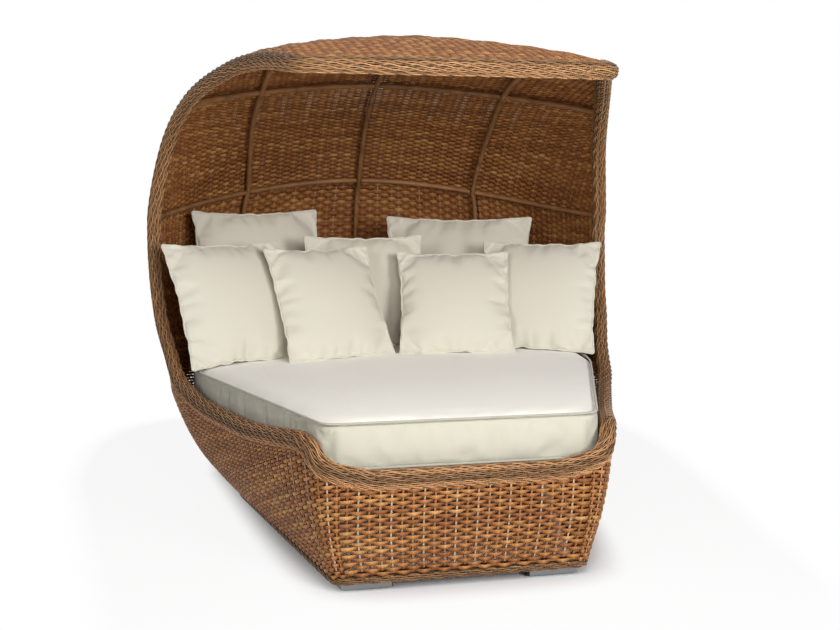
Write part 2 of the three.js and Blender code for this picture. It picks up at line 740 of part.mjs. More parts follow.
// Side and corner uprights stand on the base ring and end under the rolled rim
const uprightInset = seatRingInset - tubeRadius - uprightDiameter / 2 - seamGap;
const uprightPlaceShares = { side: 1.42, corner: 2.5 };
for (const [where, place] of Object.entries(uprightPlaceShares)) {
  for (const [hand, mirror] of [["left", -1], ["right", 1]]) {
    const to = rimHeightAtPlace(place);
    const points = steps(baseHeight, to, 4).map((z) =>
      sunk(levelled(wallSpot(mirror * place, z)), uprightInset),
    );
    const upright = cut(tubeAlong(points, uprightDiameter, 5), rollCutter, ...edgeSpaces);
    addPiece(`upright_${where}_${hand}`, upright, "frame");
  }
}

// Ribs: three run from the canopy's front edge down the back to the base ring, two hoops cross them
const ribRadius = ribDiameter / 2;
const ribInset = skinThickness + ribStandoff + ribRadius;

function longRibPoints(side) {
  const canopy = steps(0, lowerHoop, 12).map((hoop) => {
    const share = shareAtWidth(hoop, Math.abs(side) * ribSpread * ribSpreadAt(hoop));
    return sunk(domeSpot(hoop, side < 0 ? -share : share), ribInset);
  });
  const top = lowerHoopHeight(ribAngle * Math.abs(side));
  const bottom = baseHeight + tubeRadius / 2;
  const wall = steps(top, bottom, 10).slice(1).map((z) => sunk(wallSpot(side * ribPlace(z), z), ribInset));
  return [...canopy, ...wall];
}

const ribSides = { left: -1, centre: 0, right: 1 };
const ribSpaces = [];
for (const [name, side] of Object.entries(ribSides)) {
  const points = longRibPoints(side);
  addPiece(`long_rib_${name}`, cut(tubeAlong(points, ribDiameter, 24), rollCutter, ...edgeSpaces), "rib");
  ribSpaces.push(solid(tubeAlong(points, ribDiameter + 2 * clearance, 24)));
}

const hoopRibs = { lower: lowerHoop, upper: upperHoopShare };
const bayNames = ["left", "left_inner", "right_inner", "right"];
for (const [level, hoop] of Object.entries(hoopRibs)) {
  const crossing = shareAtWidth(hoop, ribSpread * ribSpreadAt(hoop));
  const gap = halfSeam / domePoint(hoop, 0).distanceTo(domePoint(hoop, 1));
  const ends = [-1, -crossing, 0, crossing, 1];
  bayNames.forEach((bay, i) => {
    const shares = steps(ends[i] + gap, ends[i + 1] - gap, 6);
    const points = shares.map((share) => sunk(domeSpot(hoop, share), ribInset));
    const tube = tubeAlong(points, ribDiameter, 6);
    addPiece(`${level}_hoop_${bay}`, cut(tube, rollCutter, ...ribSpaces), "rib");
  });
}

// Seat cross bars between the sides of the seat ring, and the deck on top of them
const seatRingSpace = solid(ringAround(seatFrames, tubeRadius + clearance));
const barDepthShares = { front: 0.25, middle: 0.68, rear: 1.1 };
for (const [name, depthShare] of Object.entries(barDepthShares)) {
  const y = centreDepth * depthShare;
  const edge = sunk(wallSpot(placeAtDepth(y, seatRingHeight), seatRingHeight), seatRingInset);
  const bar = new THREE.BoxGeometry(2 * edge.x, barWidth, barHeight);
  bar.translate(0, y, deckBottom - clearance - barHeight / 2);
  addPiece(`cross_bar_${name}`, cut(bar, seatRingSpace), "frame");
}

const deckInset = seatRingInset - tubeRadius / 2;
const deckShape = new THREE.Shape(
  frames(outlineRing(deckTop), deckInset, true).map(({ point }) => new THREE.Vector2(point.x, point.y)),
);
const deck = new THREE.ExtrudeGeometry(deckShape, { depth: deckThickness, bevelEnabled: false });
deck.translate(0, 0, deckBottom);
addPiece("seat_deck", deck, "frame");

// Feet: box-section bars under the base ring, with end caps and glides
const footTop = glideHeight + footHeight;
const footBottomOutline = shellOutline(baseBottom);
const footFront = footBottomOutline.front + footInset;
const footBack = footFront + footWidth;
const sideLineAt = (y) =>
  footBottomOutline.half + footBottomOutline.splay * y - footInset * Math.hypot(1, footBottomOutline.splay);
const footInner = sideLineAt(footFront) - frontFootLength;

function footBar(shape) {
  const bar = new THREE.ExtrudeGeometry(shape, { depth: footHeight, bevelEnabled: false });
  bar.translate(0, 0, glideHeight);
  return bar;
}

function glideAt(x, y) {
  const height = glideHeight - clearance;
  const glide = new THREE.CylinderGeometry(glideDiameter / 2, glideDiameter / 2, height, 12);
  glide.rotateX(Math.PI / 2);
  glide.translate(x, y, height / 2);
  return glide;
}

const capWidth = footWidth - 2 * clearance;
const capHeight = footHeight - 2 * clearance;
const footLevel = (glideHeight + footTop) / 2;
for (const [hand, mirror] of [["left", -1], ["right", 1]]) {
  const outline = [
    [footInner, footFront],
    [sideLineAt(footFront), footFront],
    [sideLineAt(footBack), footBack],
    [footInner, footBack],
  ].map(([x, y]) => new THREE.Vector2(mirror * x, y));
  addPiece(`foot_front_${hand}`, footBar(new THREE.Shape(outline)), "aluminium");
  const middle = footFront + footWidth / 2;
  const cap = new THREE.BoxGeometry(capThickness, capWidth, capHeight);
  cap.translate(mirror * (footInner - clearance - capThickness / 2), middle, footLevel);
  addPiece(`end_cap_front_${hand}`, cap, "plastic");
  const outer = sideLineAt(footFront) - glideEndMargin;
  addPiece(`glide_front_${hand}_outer`, glideAt(mirror * outer, middle), "glide");
  addPiece(`glide_front_${hand}_inner`, glideAt(mirror * (footInner + glideEndMargin), middle), "glide");
}

const rearFootPlace = THREE.MathUtils.degToRad(rearFootAngle) / tangentAngle(shellOutline(baseHeight));
for (const [hand, mirror] of [["left", -1], ["right", 1]]) {
  const spot = wallSpot(mirror * rearFootPlace, baseHeight);
  const level = levelled(spot).normal;
  const middle = spot.point.clone().addScaledVector(level, -baseInset);
  const foot = new THREE.Group();
  foot.position.set(middle.x, middle.y, 0);
  foot.rotation.z = Math.atan2(level.y, level.x) - Math.PI / 2;
  daybed.add(foot);
  const bar = new THREE.BoxGeometry(rearFootLength, footWidth, footHeight);
  bar.translate(0, 0, footLevel);
  addPiece(`foot_rear_${hand}`, bar, "aluminium", foot);
  for (const [end, sign] of [["left", -1], ["right", 1]]) {
    const cap = new THREE.BoxGeometry(capThickness, capWidth, capHeight);
    cap.translate(sign * (rearFootLength / 2 + clearance + capThickness / 2), 0, footLevel);
    addPiece(`end_cap_rear_${hand}_${end}`, cap, "plastic", foot);
    const glide = glideAt(sign * (rearFootLength / 2 - glideEndMargin), 0);
    addPiece(`glide_rear_${hand}_${end}`, glide, "glide", foot);
  }
}

// The mattress: a boxed cushion with soft edges, sides that draw in between its seams, and a low crown
const mattressHalfWidth = frontHalfWidth - mattressSideGap;
const mattressCentreDepth = centreDepth - mattressCentreSetback;
const mattressBackRadius = backRadius - mattressBackGap;
const mattressOutline = {
  half: mattressHalfWidth,
  splay: mattressSplayShare,
  centre: mattressCentreDepth,
  side: (mattressHalfWidth + mattressSplayShare * mattressCentreDepth) / Math.hypot(1, mattressSplayShare),
  back: mattressBackRadius,
  front: mattressFront,
  corner: mattressCorner,
};
const mattressTop = mattressBottom + mattressThickness;
const mattressHalf = ringPlaces.map((place) => outlinePoint(mattressOutline, place));
const mattressLoop = [
  ...mattressHalf,
  ...mattressHalf.slice(1, -1).reverse().map((p) => new THREE.Vector2(-p.x, p.y)),
];
const mattressMiddle = new THREE.Vector2(0, mattressCentreDepth * (1 - mattressSplayShare));

function mattressRing(inset, share, z) {
  return mattressLoop.map((p, i) => {
    const before = mattressLoop.at(i - 1);
    const after = mattressLoop[(i + 1) % mattressLoop.length];
    const along = after.clone().sub(before).normalize();
    const edge = new THREE.Vector2(p.x + along.y * inset, p.y - along.x * inset);
    const q = mattressMiddle.clone().lerp(edge, share);
    return new THREE.Vector3(q.x, q.y, z);
  });
}

// Outward is the positive inset when the loop runs from the back round the right-hand side to the front
const mattressProfile = [
  [-mattressEdge, 1, mattressBottom],
  [0, 1, mattressBottom + mattressEdge],
  [-mattressBulge, 1, mattressBottom + mattressThickness / 2],
  [0, 1, mattressTop - mattressEdge],
  [-mattressEdge, 1, mattressTop],
];
const crownShares = [[0.85, 0.5], [0.6, 0.86], [0.3, 1]];
const crownRing = ([share, rise]) =>
  mattressRing(mattressEdge, share, mattressTop + mattressCrown * rise);
const mattressRings = [
  ...mattressProfile.map(([out, share, z]) => mattressRing(-out, share, z)),
  ...crownShares.map(crownRing),
];
const mattress = addPiece("mattress", lofted(mattressRings), "cushion");

// Pillows: crowned squares whose sides draw in between pointed corners, leaned back and set down on
// the mattress
const pillowGridCount = 8;
const pillowDrawShare = 0.055;
const pillowPowerShare = 0.62;
const pillowCornerShare = 0.35;

function pillowGeometry(width, height, thickness) {
  const spread = steps(-1, 1, pillowGridCount).map((t) => Math.sin((t * Math.PI) / 2));
  const face = (side) =>
    spread.map((v) =>
      spread.map((u) => {
        const drawX = 1 - pillowDrawShare * (1 - v * v) * Math.abs(u);
        const drawZ = 1 - pillowDrawShare * (1 - u * u) * Math.abs(v);
        const puff = ((1 - u * u) * (1 - v * v)) ** pillowPowerShare;
        const plump = puff * (1 - pillowCornerShare * (u * u + v * v) * 0.5);
        const depth = pillowSeam / 2 + (thickness / 2 - pillowSeam / 2) * plump;
        return new THREE.Vector3((width / 2) * u * drawX, side * depth, (height / 2) * (1 + v * drawZ));
      }),
    );
  return slab(face(1), face(-1));
}

// Each pillow: width and height as shares of its size, thickness as a share of the pillow thickness,
// sideways as a share of the mattress's half width at its widest, back as a share of its rounded
// back, then its turn and lean
const scatterPillowShares = {
  left: [1.06, 1.08, 1, -0.722, -0.1, 26, 28],
  front_left: [0.96, 1.04, 1, -0.268, -0.088, 19, 30],
  front_right: [0.98, 0.98, 1, 0.331, -0.038, -8, 31],
  right: [1.05, 1.05, 0.93, 0.75, 0, -26, 28],
  middle: [1.07, 1.03, 0.93, -0.078, 0.276, 0, 18],
};
const backPillowShares = {
  back_left: [1, 1, 1.07, -0.593, 0.569, 21, 12],
  back_right: [1.13, 0.95, 1.07, 0.457, 0.543, -23, 14],
};
const pillowRows = [
  ...Object.entries(scatterPillowShares).map(([name, row]) => [name, scatterPillowSize, ...row]),
  ...Object.entries(backPillowShares).map(([name, row]) => [name, backPillowSize, ...row]),
];

// Lowers a piece straight down until it rests on the one below it
function setDown(piece, support) {
  piece.updateMatrixWorld(true);
  support.updateMatrixWorld(true);
  const ray = new THREE.Raycaster();
  const down = new THREE.Vector3(0, 0, -1);
  const corners = piece.geometry.attributes.position;
  let drop = Infinity;
  for (let i = 0; i < corners.count; i++) {
    const corner = new THREE.Vector3().fromBufferAttribute(corners, i).applyMatrix4(piece.matrixWorld);
    ray.set(corner, down);
    const [hit] = ray.intersectObject(support);
    if (hit) drop = Math.min(drop, hit.distance);
  }
  piece.position.z -= drop - restGap;
}

for (const [name, size, wide, high, thick, sideways, back, turn, lean] of pillowRows) {
  const height = size * high;
  const geometry = pillowGeometry(size * wide, height, pillowThickness * thick);
  const pillow = addPiece(`pillow_${name}`, geometry, "cushion");
  const depth = mattressCentreDepth + mattressBackRadius * back;
  pillow.position.set(mattressOutline.side * sideways, depth, mattressTop + height);
  pillow.rotation.set(-THREE.MathUtils.degToRad(lean), 0, THREE.MathUtils.degToRad(turn), "ZXY");
  setDown(pillow, mattress);
}

// Origin on the floor, under the middle of the whole object
daybed.updateMatrixWorld(true);
const extent = new THREE.Box3().setFromObject(daybed, true);
const middle = extent.getCenter(new THREE.Vector3());
daybed.position.set(-middle.x, -middle.y, -extent.min.z);

export default daybed;
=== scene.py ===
"""Outdoor daybed with a woven canopy.

Its weave, rims, ribs, cushions, feet and finishes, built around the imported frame.
"""

import functools
import math

import bmesh
import bpy
import numpy as np
from bpy.props import FloatProperty, FloatVectorProperty, IntProperty, PointerProperty
from mathutils import Matrix, Vector
from mathutils.kdtree import KDTree


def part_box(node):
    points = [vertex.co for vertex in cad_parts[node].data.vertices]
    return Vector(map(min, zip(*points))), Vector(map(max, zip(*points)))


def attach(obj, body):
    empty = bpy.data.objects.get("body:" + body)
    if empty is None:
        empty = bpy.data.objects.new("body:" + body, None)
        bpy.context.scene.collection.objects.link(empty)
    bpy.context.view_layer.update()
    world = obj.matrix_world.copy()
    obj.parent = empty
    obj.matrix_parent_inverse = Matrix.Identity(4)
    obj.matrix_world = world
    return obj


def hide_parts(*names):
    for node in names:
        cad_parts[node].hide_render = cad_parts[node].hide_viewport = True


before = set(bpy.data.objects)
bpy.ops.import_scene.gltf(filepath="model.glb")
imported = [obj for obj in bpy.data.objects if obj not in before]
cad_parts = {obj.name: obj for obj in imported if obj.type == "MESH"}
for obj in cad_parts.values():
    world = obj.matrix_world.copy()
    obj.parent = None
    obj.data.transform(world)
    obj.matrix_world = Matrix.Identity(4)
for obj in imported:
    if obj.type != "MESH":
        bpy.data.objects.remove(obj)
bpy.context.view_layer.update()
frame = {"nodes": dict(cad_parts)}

bl_info = {
    "name": "Woven canopy daybed",
    "version": (1, 0, 0),
    "blender": (4, 5, 0),
    "location": "3D View > Sidebar > Daybed",
    "description": "Dresses the daybed's frame: weave, rims, ribs, cushions, feet and a stage",
    "category": "Object",
}

TURN = 2 * math.pi


def length(name, description, default):
    return FloatProperty(name=name, description=description, default=default, unit="LENGTH", precision=4)


def ratio(name, description, default):
    return FloatProperty(name=name, description=description, default=default)


def number(name, description, default):
    return IntProperty(name=name, description=description, default=default)


def colour(name, description, default):
    return FloatVectorProperty(
        name=name, description=description, default=default, subtype="COLOR", size=3, min=0, max=1
    )


class ShellSizes(bpy.types.PropertyGroup):
    """Driving sizes of the woven shell"""

    canopy_height: length("Canopy height", "Highest point of the shell", 1.766)
    front_half_width: length("Front half width", "Half the width across the seat's front", 0.484)
    centre_depth: length("Centre depth", "From the front to the centre of the round back", 1.2)
    back_radius: length("Back radius", "Radius straight behind that centre", 1.04)
    front_lean: length("Front lean", "How far the front leans out at the rim", 0.1)
    corner_radius: length("Corner radius", "Leg of the seat's front corners", 0.1)
    side_splay: ratio("Side splay", "Widening of the sides to the back", 0.39)
    skin: length("Skin thickness", "Thickness of the woven skin", 0.009)
    bottom: length("Bottom edge", "Height of the skin's lower edge", 0.0515)
    seat_rim: length("Seat rim height", "Centre of the rolled rim across the front", 0.355)
    arm_rim: length("Arm rim height", "Centre of the rolled rim along the arms", 0.415)
    corner_rim: length("Corner rim height", "Centre of the rolled rim at the front corners", 0.459)
    canopy_corner: length("Canopy corner", "Leg of the rim's turn at the canopy's corners", 0.06)


class WeaveSizes(bpy.types.PropertyGroup):
    """Sizes of the flat weave"""

    row_pitch: length("Row pitch", "Distance between rows of strip", 0.0118)
    stake_pitch: length("Stake pitch", "Distance between the upright stakes", 0.033)
    strip_width: length("Strip width", "Width of the widest woven strip", 0.027)
    strip_thickness: length("Strip thickness", "Thickness of the woven strip", 0.0024)
    strip_wave: length("Strip wave", "How far a strip passes before and behind the stakes", 0.005)
    pinch: ratio("Pinch", "Share of its width that a strip loses behind a stake", 0.3)
    ripple: length("Ripple", "Height of the canopy's shallow bulges between its stouter stakes", 0.0035)
    ripple_stakes: number("Ripple stakes", "Stakes from bulge to bulge", 4)
    stake_width: length("Stake width", "Width of the single pale stake", 0.0054)
    stake_thickness: length("Stake thickness", "Thickness of a stake", 0.0024)
    thin_width: length("Thin stake width", "Width of each strand of a double stake", 0.0026)
    samples: number("Samples", "Points on a strip between two stakes", 3)


class RimSizes(bpy.types.PropertyGroup):
    """Sizes of the twined rim, the edge trim and the ribs"""

    depth: length("Rim depth", "Height of the rolled rim's section", 0.066)
    thickness: length("Rim thickness", "Thickness of the rolled rim's section", 0.054)
    inset: length("Rim inset", "Depth of the rim's centre under the shell's surface", 0.019)
    rows: number("Rim rows", "Twined rows round the rolled rim", 18)
    strand: length("Strand", "Thickness of a twined strand", 0.0033)
    twist: length("Twist", "Length in which two strands turn round each other once", 0.08)
    twist_radius: length("Twist radius", "Half the width of that turn", 0.0038)
    twist_rise: length("Twist rise", "Half the height of that turn", 0.0026)
    packing: length("Packing", "Depth of the dark packing under the strands", 0.0095)
    trim_height: length("Trim height", "Height of the bottom trim", 0.0206)
    trim_thickness: length("Trim thickness", "Thickness of the bottom trim", 0.02)
    trim_inset: length("Trim inset", "Depth of the trim's centre under the shell's surface", 0.006)
    rib: length("Rib", "Diameter of a wrapped rib", 0.024)
    rib_standoff: length("Rib standoff", "Gap between skin and rib", 0.007)
    rib_spread: length("Rib spread", "Distance of the side ribs from the middle", 0.51)
    rib_wrap: length("Rib wrap", "Pitch of the strand wound round a rib", 0.0052)
    rib_ridge: length("Rib ridge", "Half the height of that strand's ridges", 0.0011)


class CushionSizes(bpy.types.PropertyGroup):
    """Sizes of the mattress and the pillows"""

    bottom: length("Mattress bottom", "Height of the mattress's underside", 0.38)
    thickness: length("Mattress thickness", "Height of its boxed side", 0.14)
    crown: length("Mattress crown", "Rise of its top", 0.01)
    half_width: length("Mattress half width", "Half the width across its front", 0.428)
    depth: length("Mattress depth", "From its front to the centre of its round back", 1.15)
    back: length("Mattress back", "Radius of its round back", 0.85)
    front: length("Mattress front", "Depth of its front edge", -0.018)
    corner: length("Mattress corner", "Leg of its front corners", 0.055)
    splay: ratio("Mattress splay", "Widening of its sides to the back", 0.36)
    piping: length("Piping", "Diameter of the corded piping", 0.0068)
    cell: length("Cloth cell", "Size of the mattress's simulated cells", 0.0125)
    draw: ratio("Draw", "How far a pillow's sides draw in between its corners", 0.055)
    pucker: length("Pucker", "Depth of the small waves along a pillow's seam", 0.0075)
    slack: ratio("Slack", "Spare cloth in a pillow's cover, as a share", 0.09)
    most_move: length("Most move", "How far filling may move a pillow's cover", 0.02)
    rest: length("Rest", "Gap between a pillow and the mattress's seam level", 0.0006)
    crease: length("Crease", "Depth of the upright creases in the mattress's side", 0.005)


class Colours(bpy.types.PropertyGroup):
    """Colours of the finishes"""

    honey: colour("Honey strip", "Lightest woven strips", (0.56, 0.30, 0.10))
    brown: colour("Brown strip", "Middle woven strips", (0.41, 0.175, 0.052))
    russet: colour("Russet strip", "Darkest woven strips", (0.24, 0.085, 0.026))
    pale: colour("Pale stake", "Single stakes", (0.54, 0.40, 0.26))
    rim: colour("Rim strand", "Twined rim", (0.39, 0.205, 0.092))
    rib: colour("Rib wrap", "Strand round the ribs", (0.30, 0.145, 0.06))
    # Painted shade: the packing's near-black colour stands in for the shade deep between the twined strands
    packing: colour("Packing", "Core under the twined strands", (0.02, 0.008, 0.004))
    canvas: colour("Canvas", "Cushion covers", (0.72, 0.69, 0.585))
    # Painted light: the mattress top is painted lighter than the canvas, as if lit from above, and its band
    # darker, as painted shade on the side
    top: colour("Mattress top", "Upper panel of the mattress", (0.93, 0.90, 0.81))
    band: colour("Mattress band", "Boxed side of the mattress", (0.51, 0.49, 0.40))
    frame: colour("Frame", "Powder coat of the tubes", (0.10, 0.055, 0.03))
    deck: colour("Deck", "Board under the mattress", (0.12, 0.07, 0.04))
    metal: colour("Feet", "Brushed aluminium", (0.27, 0.275, 0.28))
    cap: colour("End caps", "Moulded caps", (0.02, 0.02, 0.02))
    glide: colour("Glides", "Moulded glides", (0.62, 0.61, 0.58))


# The shell's outline by height: a share of the canopy height, then a share of the size named beside it
SIDE_WIDTH_SHARES = [
    (0, 0.816), (0.017, 0.835), (0.057, 0.876), (0.113, 0.934), (0.17, 0.973), (0.238, 1), (0.34, 1.023),
]
SPLAY_SHARES = [(0, 0.551), (0.017, 0.585), (0.057, 0.697), (0.113, 0.821), (0.17, 0.91), (0.238, 1)]
CENTRE_SHARES = [(0, 0.85), (0.017, 0.875), (0.057, 0.933), (0.113, 0.975), (0.17, 0.992), (0.238, 1)]
FLARE_SHARES = [
    (0.238, 1), (0.311, 1.01), (0.396, 1.048), (0.481, 1.072), (0.566, 1.081), (0.623, 1.076), (0.68, 1.059),
    (0.764, 1.003),
]
BACK_SHARES = [
    (0, 0.654), (0.017, 0.692), (0.057, 0.769), (0.113, 0.846), (0.17, 0.899), (0.238, 0.933), (0.34, 0.971),
    (0.453, 1), (0.538, 0.997), (0.623, 0.964), (0.68, 0.918), (0.719, 0.865), (0.764, 0.808),
]
LEAN_SHARES = [(0, 0.27), (0.017, 0.3), (0.198, 0.82), (0.34, 1)]
CORNER_SHARES = [(0, 0.5), (0.017, 0.5), (0.17, 0.85), (0.22, 1)]

# Canopy hoops from the front edge back: half width, end depth, end height, middle depth, middle height,
# fullness of the arch and of its sweep
HOOP_SHARES = [
    (0.4845, 0.037, 0.895, 0.025, 0.8955, 2, 1),
    (0.5825, 0.264, 0.917, 0.4, 0.967, 1.6, 1),
    (0.689, 0.48, 0.914, 0.817, 1, 1.5, 1),
    (0.8196, 0.754, 0.875, 1.233, 0.9625, 1.5, 1.03),
    (0.9206, 0.971, 0.784, 1.558, 0.8635, 1.65, 1.2),
]
WIDEST_SHARE = 0.566
HOOP_END_SHARE = 0.623
HOOP_MIDDLE_SHARE = 0.7185
HOOP_DEPTH_SHARE = 1.092
HOOP_CONTINUED_SHARE = 0.14
UPPER_HOOP = 3.15
RIB_SPREAD_SHARES = [(0, 0.843), (2, 0.951), (3, 1), (4, 1.069), (5, 1.084)]
STAKE_SPREAD_SHARES = [(0, 0.85), (3.15, 0.98), (5, 1)]

# Rim below the lower hoop: share of the centre depth, share of the rise; then round the corner by place
RIM_SIDE_SHARES = [(1.106, 0.87), (1.077, 0.59), (0.98, 0.31), (0.81, 0.09), (0.6, 0.01), (0.375, 0)]
RIM_FORWARD_SHARES = [(0.122, 0.68), (0.03, 1)]
RIM_CORNER_SHARES = [(1.97, 0.92), (2.12, 0.66), (2.5, 0.4), (3, 0.2), (3.3, 0), (4, 0)]
ROLL_SPLIT = 3.3

# Slope of the woven rows on the walls: level at one height, rising to the back above it, falling below
ROW_LEVEL_SHARE = 0.453
ROW_FALL = 0.364
ROW_FALL_REACH = 0.83


def unit(vectors):
    return vectors / np.maximum(np.linalg.norm(vectors, axis=-1, keepdims=True), 1e-12)


def table_curve(rows):
    """A smooth curve through rows of place and value that never overshoots, held at its ends."""
    x, y = np.array(rows, float).T
    h = np.diff(x)
    slope = np.diff(y) / h
    tangent = np.zeros_like(x)
    tangent[0], tangent[-1] = slope[0], slope[-1]
    before = 2 * h[1:] + h[:-1]
    after = h[1:] + 2 * h[:-1]
    same = slope[:-1] * slope[1:] > 0
    low = np.where(same, slope[:-1], 1)
    high = np.where(same, slope[1:], 1)
    tangent[1:-1] = np.where(same, (before + after) / (before / low + after / high), 0)

    def at(place):
        place = np.clip(place, x[0], x[-1])
        i = np.clip(np.searchsorted(x, place, side="right") - 1, 0, len(h) - 1)
        t = (place - x[i]) / h[i]
        flat = t * t * (3 - 2 * t)
        rise = t * (1 - t) * h[i] * ((1 - t) * tangent[i] - t * tangent[i + 1])
        return y[i] * (1 - flat) + y[i + 1] * flat + rise

    return at


def travelled(points):
    """Distance along a polyline at each of its points."""
    return np.concatenate([[0], np.cumsum(np.linalg.norm(np.diff(points, axis=0), axis=1))])


def resampled(values, distances, wanted):
    return np.stack([np.interp(wanted, distances, column) for column in values.T], axis=1)


def stepped(step, line, *values):
    """Distances along a line at even steps of about a given length, and values along it at those steps."""
    distance = travelled(line)
    wanted = np.linspace(0, distance[-1], int(distance[-1] / step) + 1)
    return wanted, *(resampled(rows, distance, wanted) for rows in values)


def closed(line):
    """A line with its first point again at its end."""
    return np.concatenate([line, line[:1]])


def mirrored(half, end=None):
    """A line from the middle, continued by its mirror image back to the middle or to one short of an end."""
    image = half * np.array([-1, 1, 1])[: half.shape[1]]
    return np.concatenate([half, image[-2:end:-1]])


def frame_along(line, normals):
    """Directions along a line, across it and out of it."""
    tangent = unit(np.gradient(line, axis=0))
    side = unit(np.cross(tangent, normals))
    return tangent, side, np.cross(side, tangent)


def smoothed(values, reach, rounds, mode="edge"):
    """Values along a line, evened out over a few neighbours."""
    for _ in range(rounds):
        padded = np.pad(values, ((reach, reach), (0, 0)), mode=mode)
        kernel = np.ones(2 * reach + 1) / (2 * reach + 1)
        values = np.stack([np.convolve(column, kernel, "valid") for column in padded.T], axis=1)
    return values


class Outline:
    """Half plan outlines by place.

    Places run from 0 to 1 round the back, to 2 down the side, to 3 round the corner, to 4 across the front.
    """

    def __init__(self, half, splay, centre, side, back, front, corner):
        self.half, self.splay, self.centre = half, splay, centre
        self.side, self.back, self.front, self.corner = side, back, front, corner
        self.turn = math.pi / 2 + np.arctan(splay)

    def round_back(self, angle):
        behind = np.maximum(0, np.cos(angle)) ** 2
        radius = self.side + (self.back - self.side) * behind
        return np.stack([radius * np.sin(angle), self.centre + radius * np.cos(angle)], axis=-1)

    def at(self, place):
        w = np.abs(place)[..., None]
        start = self.round_back(self.turn)
        back = self.round_back(np.minimum(np.abs(place), 1) * self.turn)
        apex = np.stack([start[..., 0] + self.splay * (self.front - start[..., 1]), self.front], axis=-1)
        along = unit(start - apex)
        leg = self.corner / np.tan(np.arccos(-along[..., 0]) / 2)
        begin = apex + along * leg[..., None]
        end = np.stack([apex[..., 0] - leg, apex[..., 1]], axis=-1)
        middle = np.stack([0 * self.front, self.front], axis=-1)
        t = np.clip(w - 1, 0, 1)
        side = start + (begin - start) * t
        t = np.clip(w - 2, 0, 1)
        corner = (begin * (1 - t) + apex * t) * (1 - t) + (apex * (1 - t) + end * t) * t
        t = np.clip(w - 3, 0, 1)
        across = end + (middle - end) * t
        point = np.where(w <= 1, back, np.where(w <= 2, side, np.where(w <= 3, corner, across)))
        point[..., 0] *= np.where(place < 0, -1, 1)
        return point


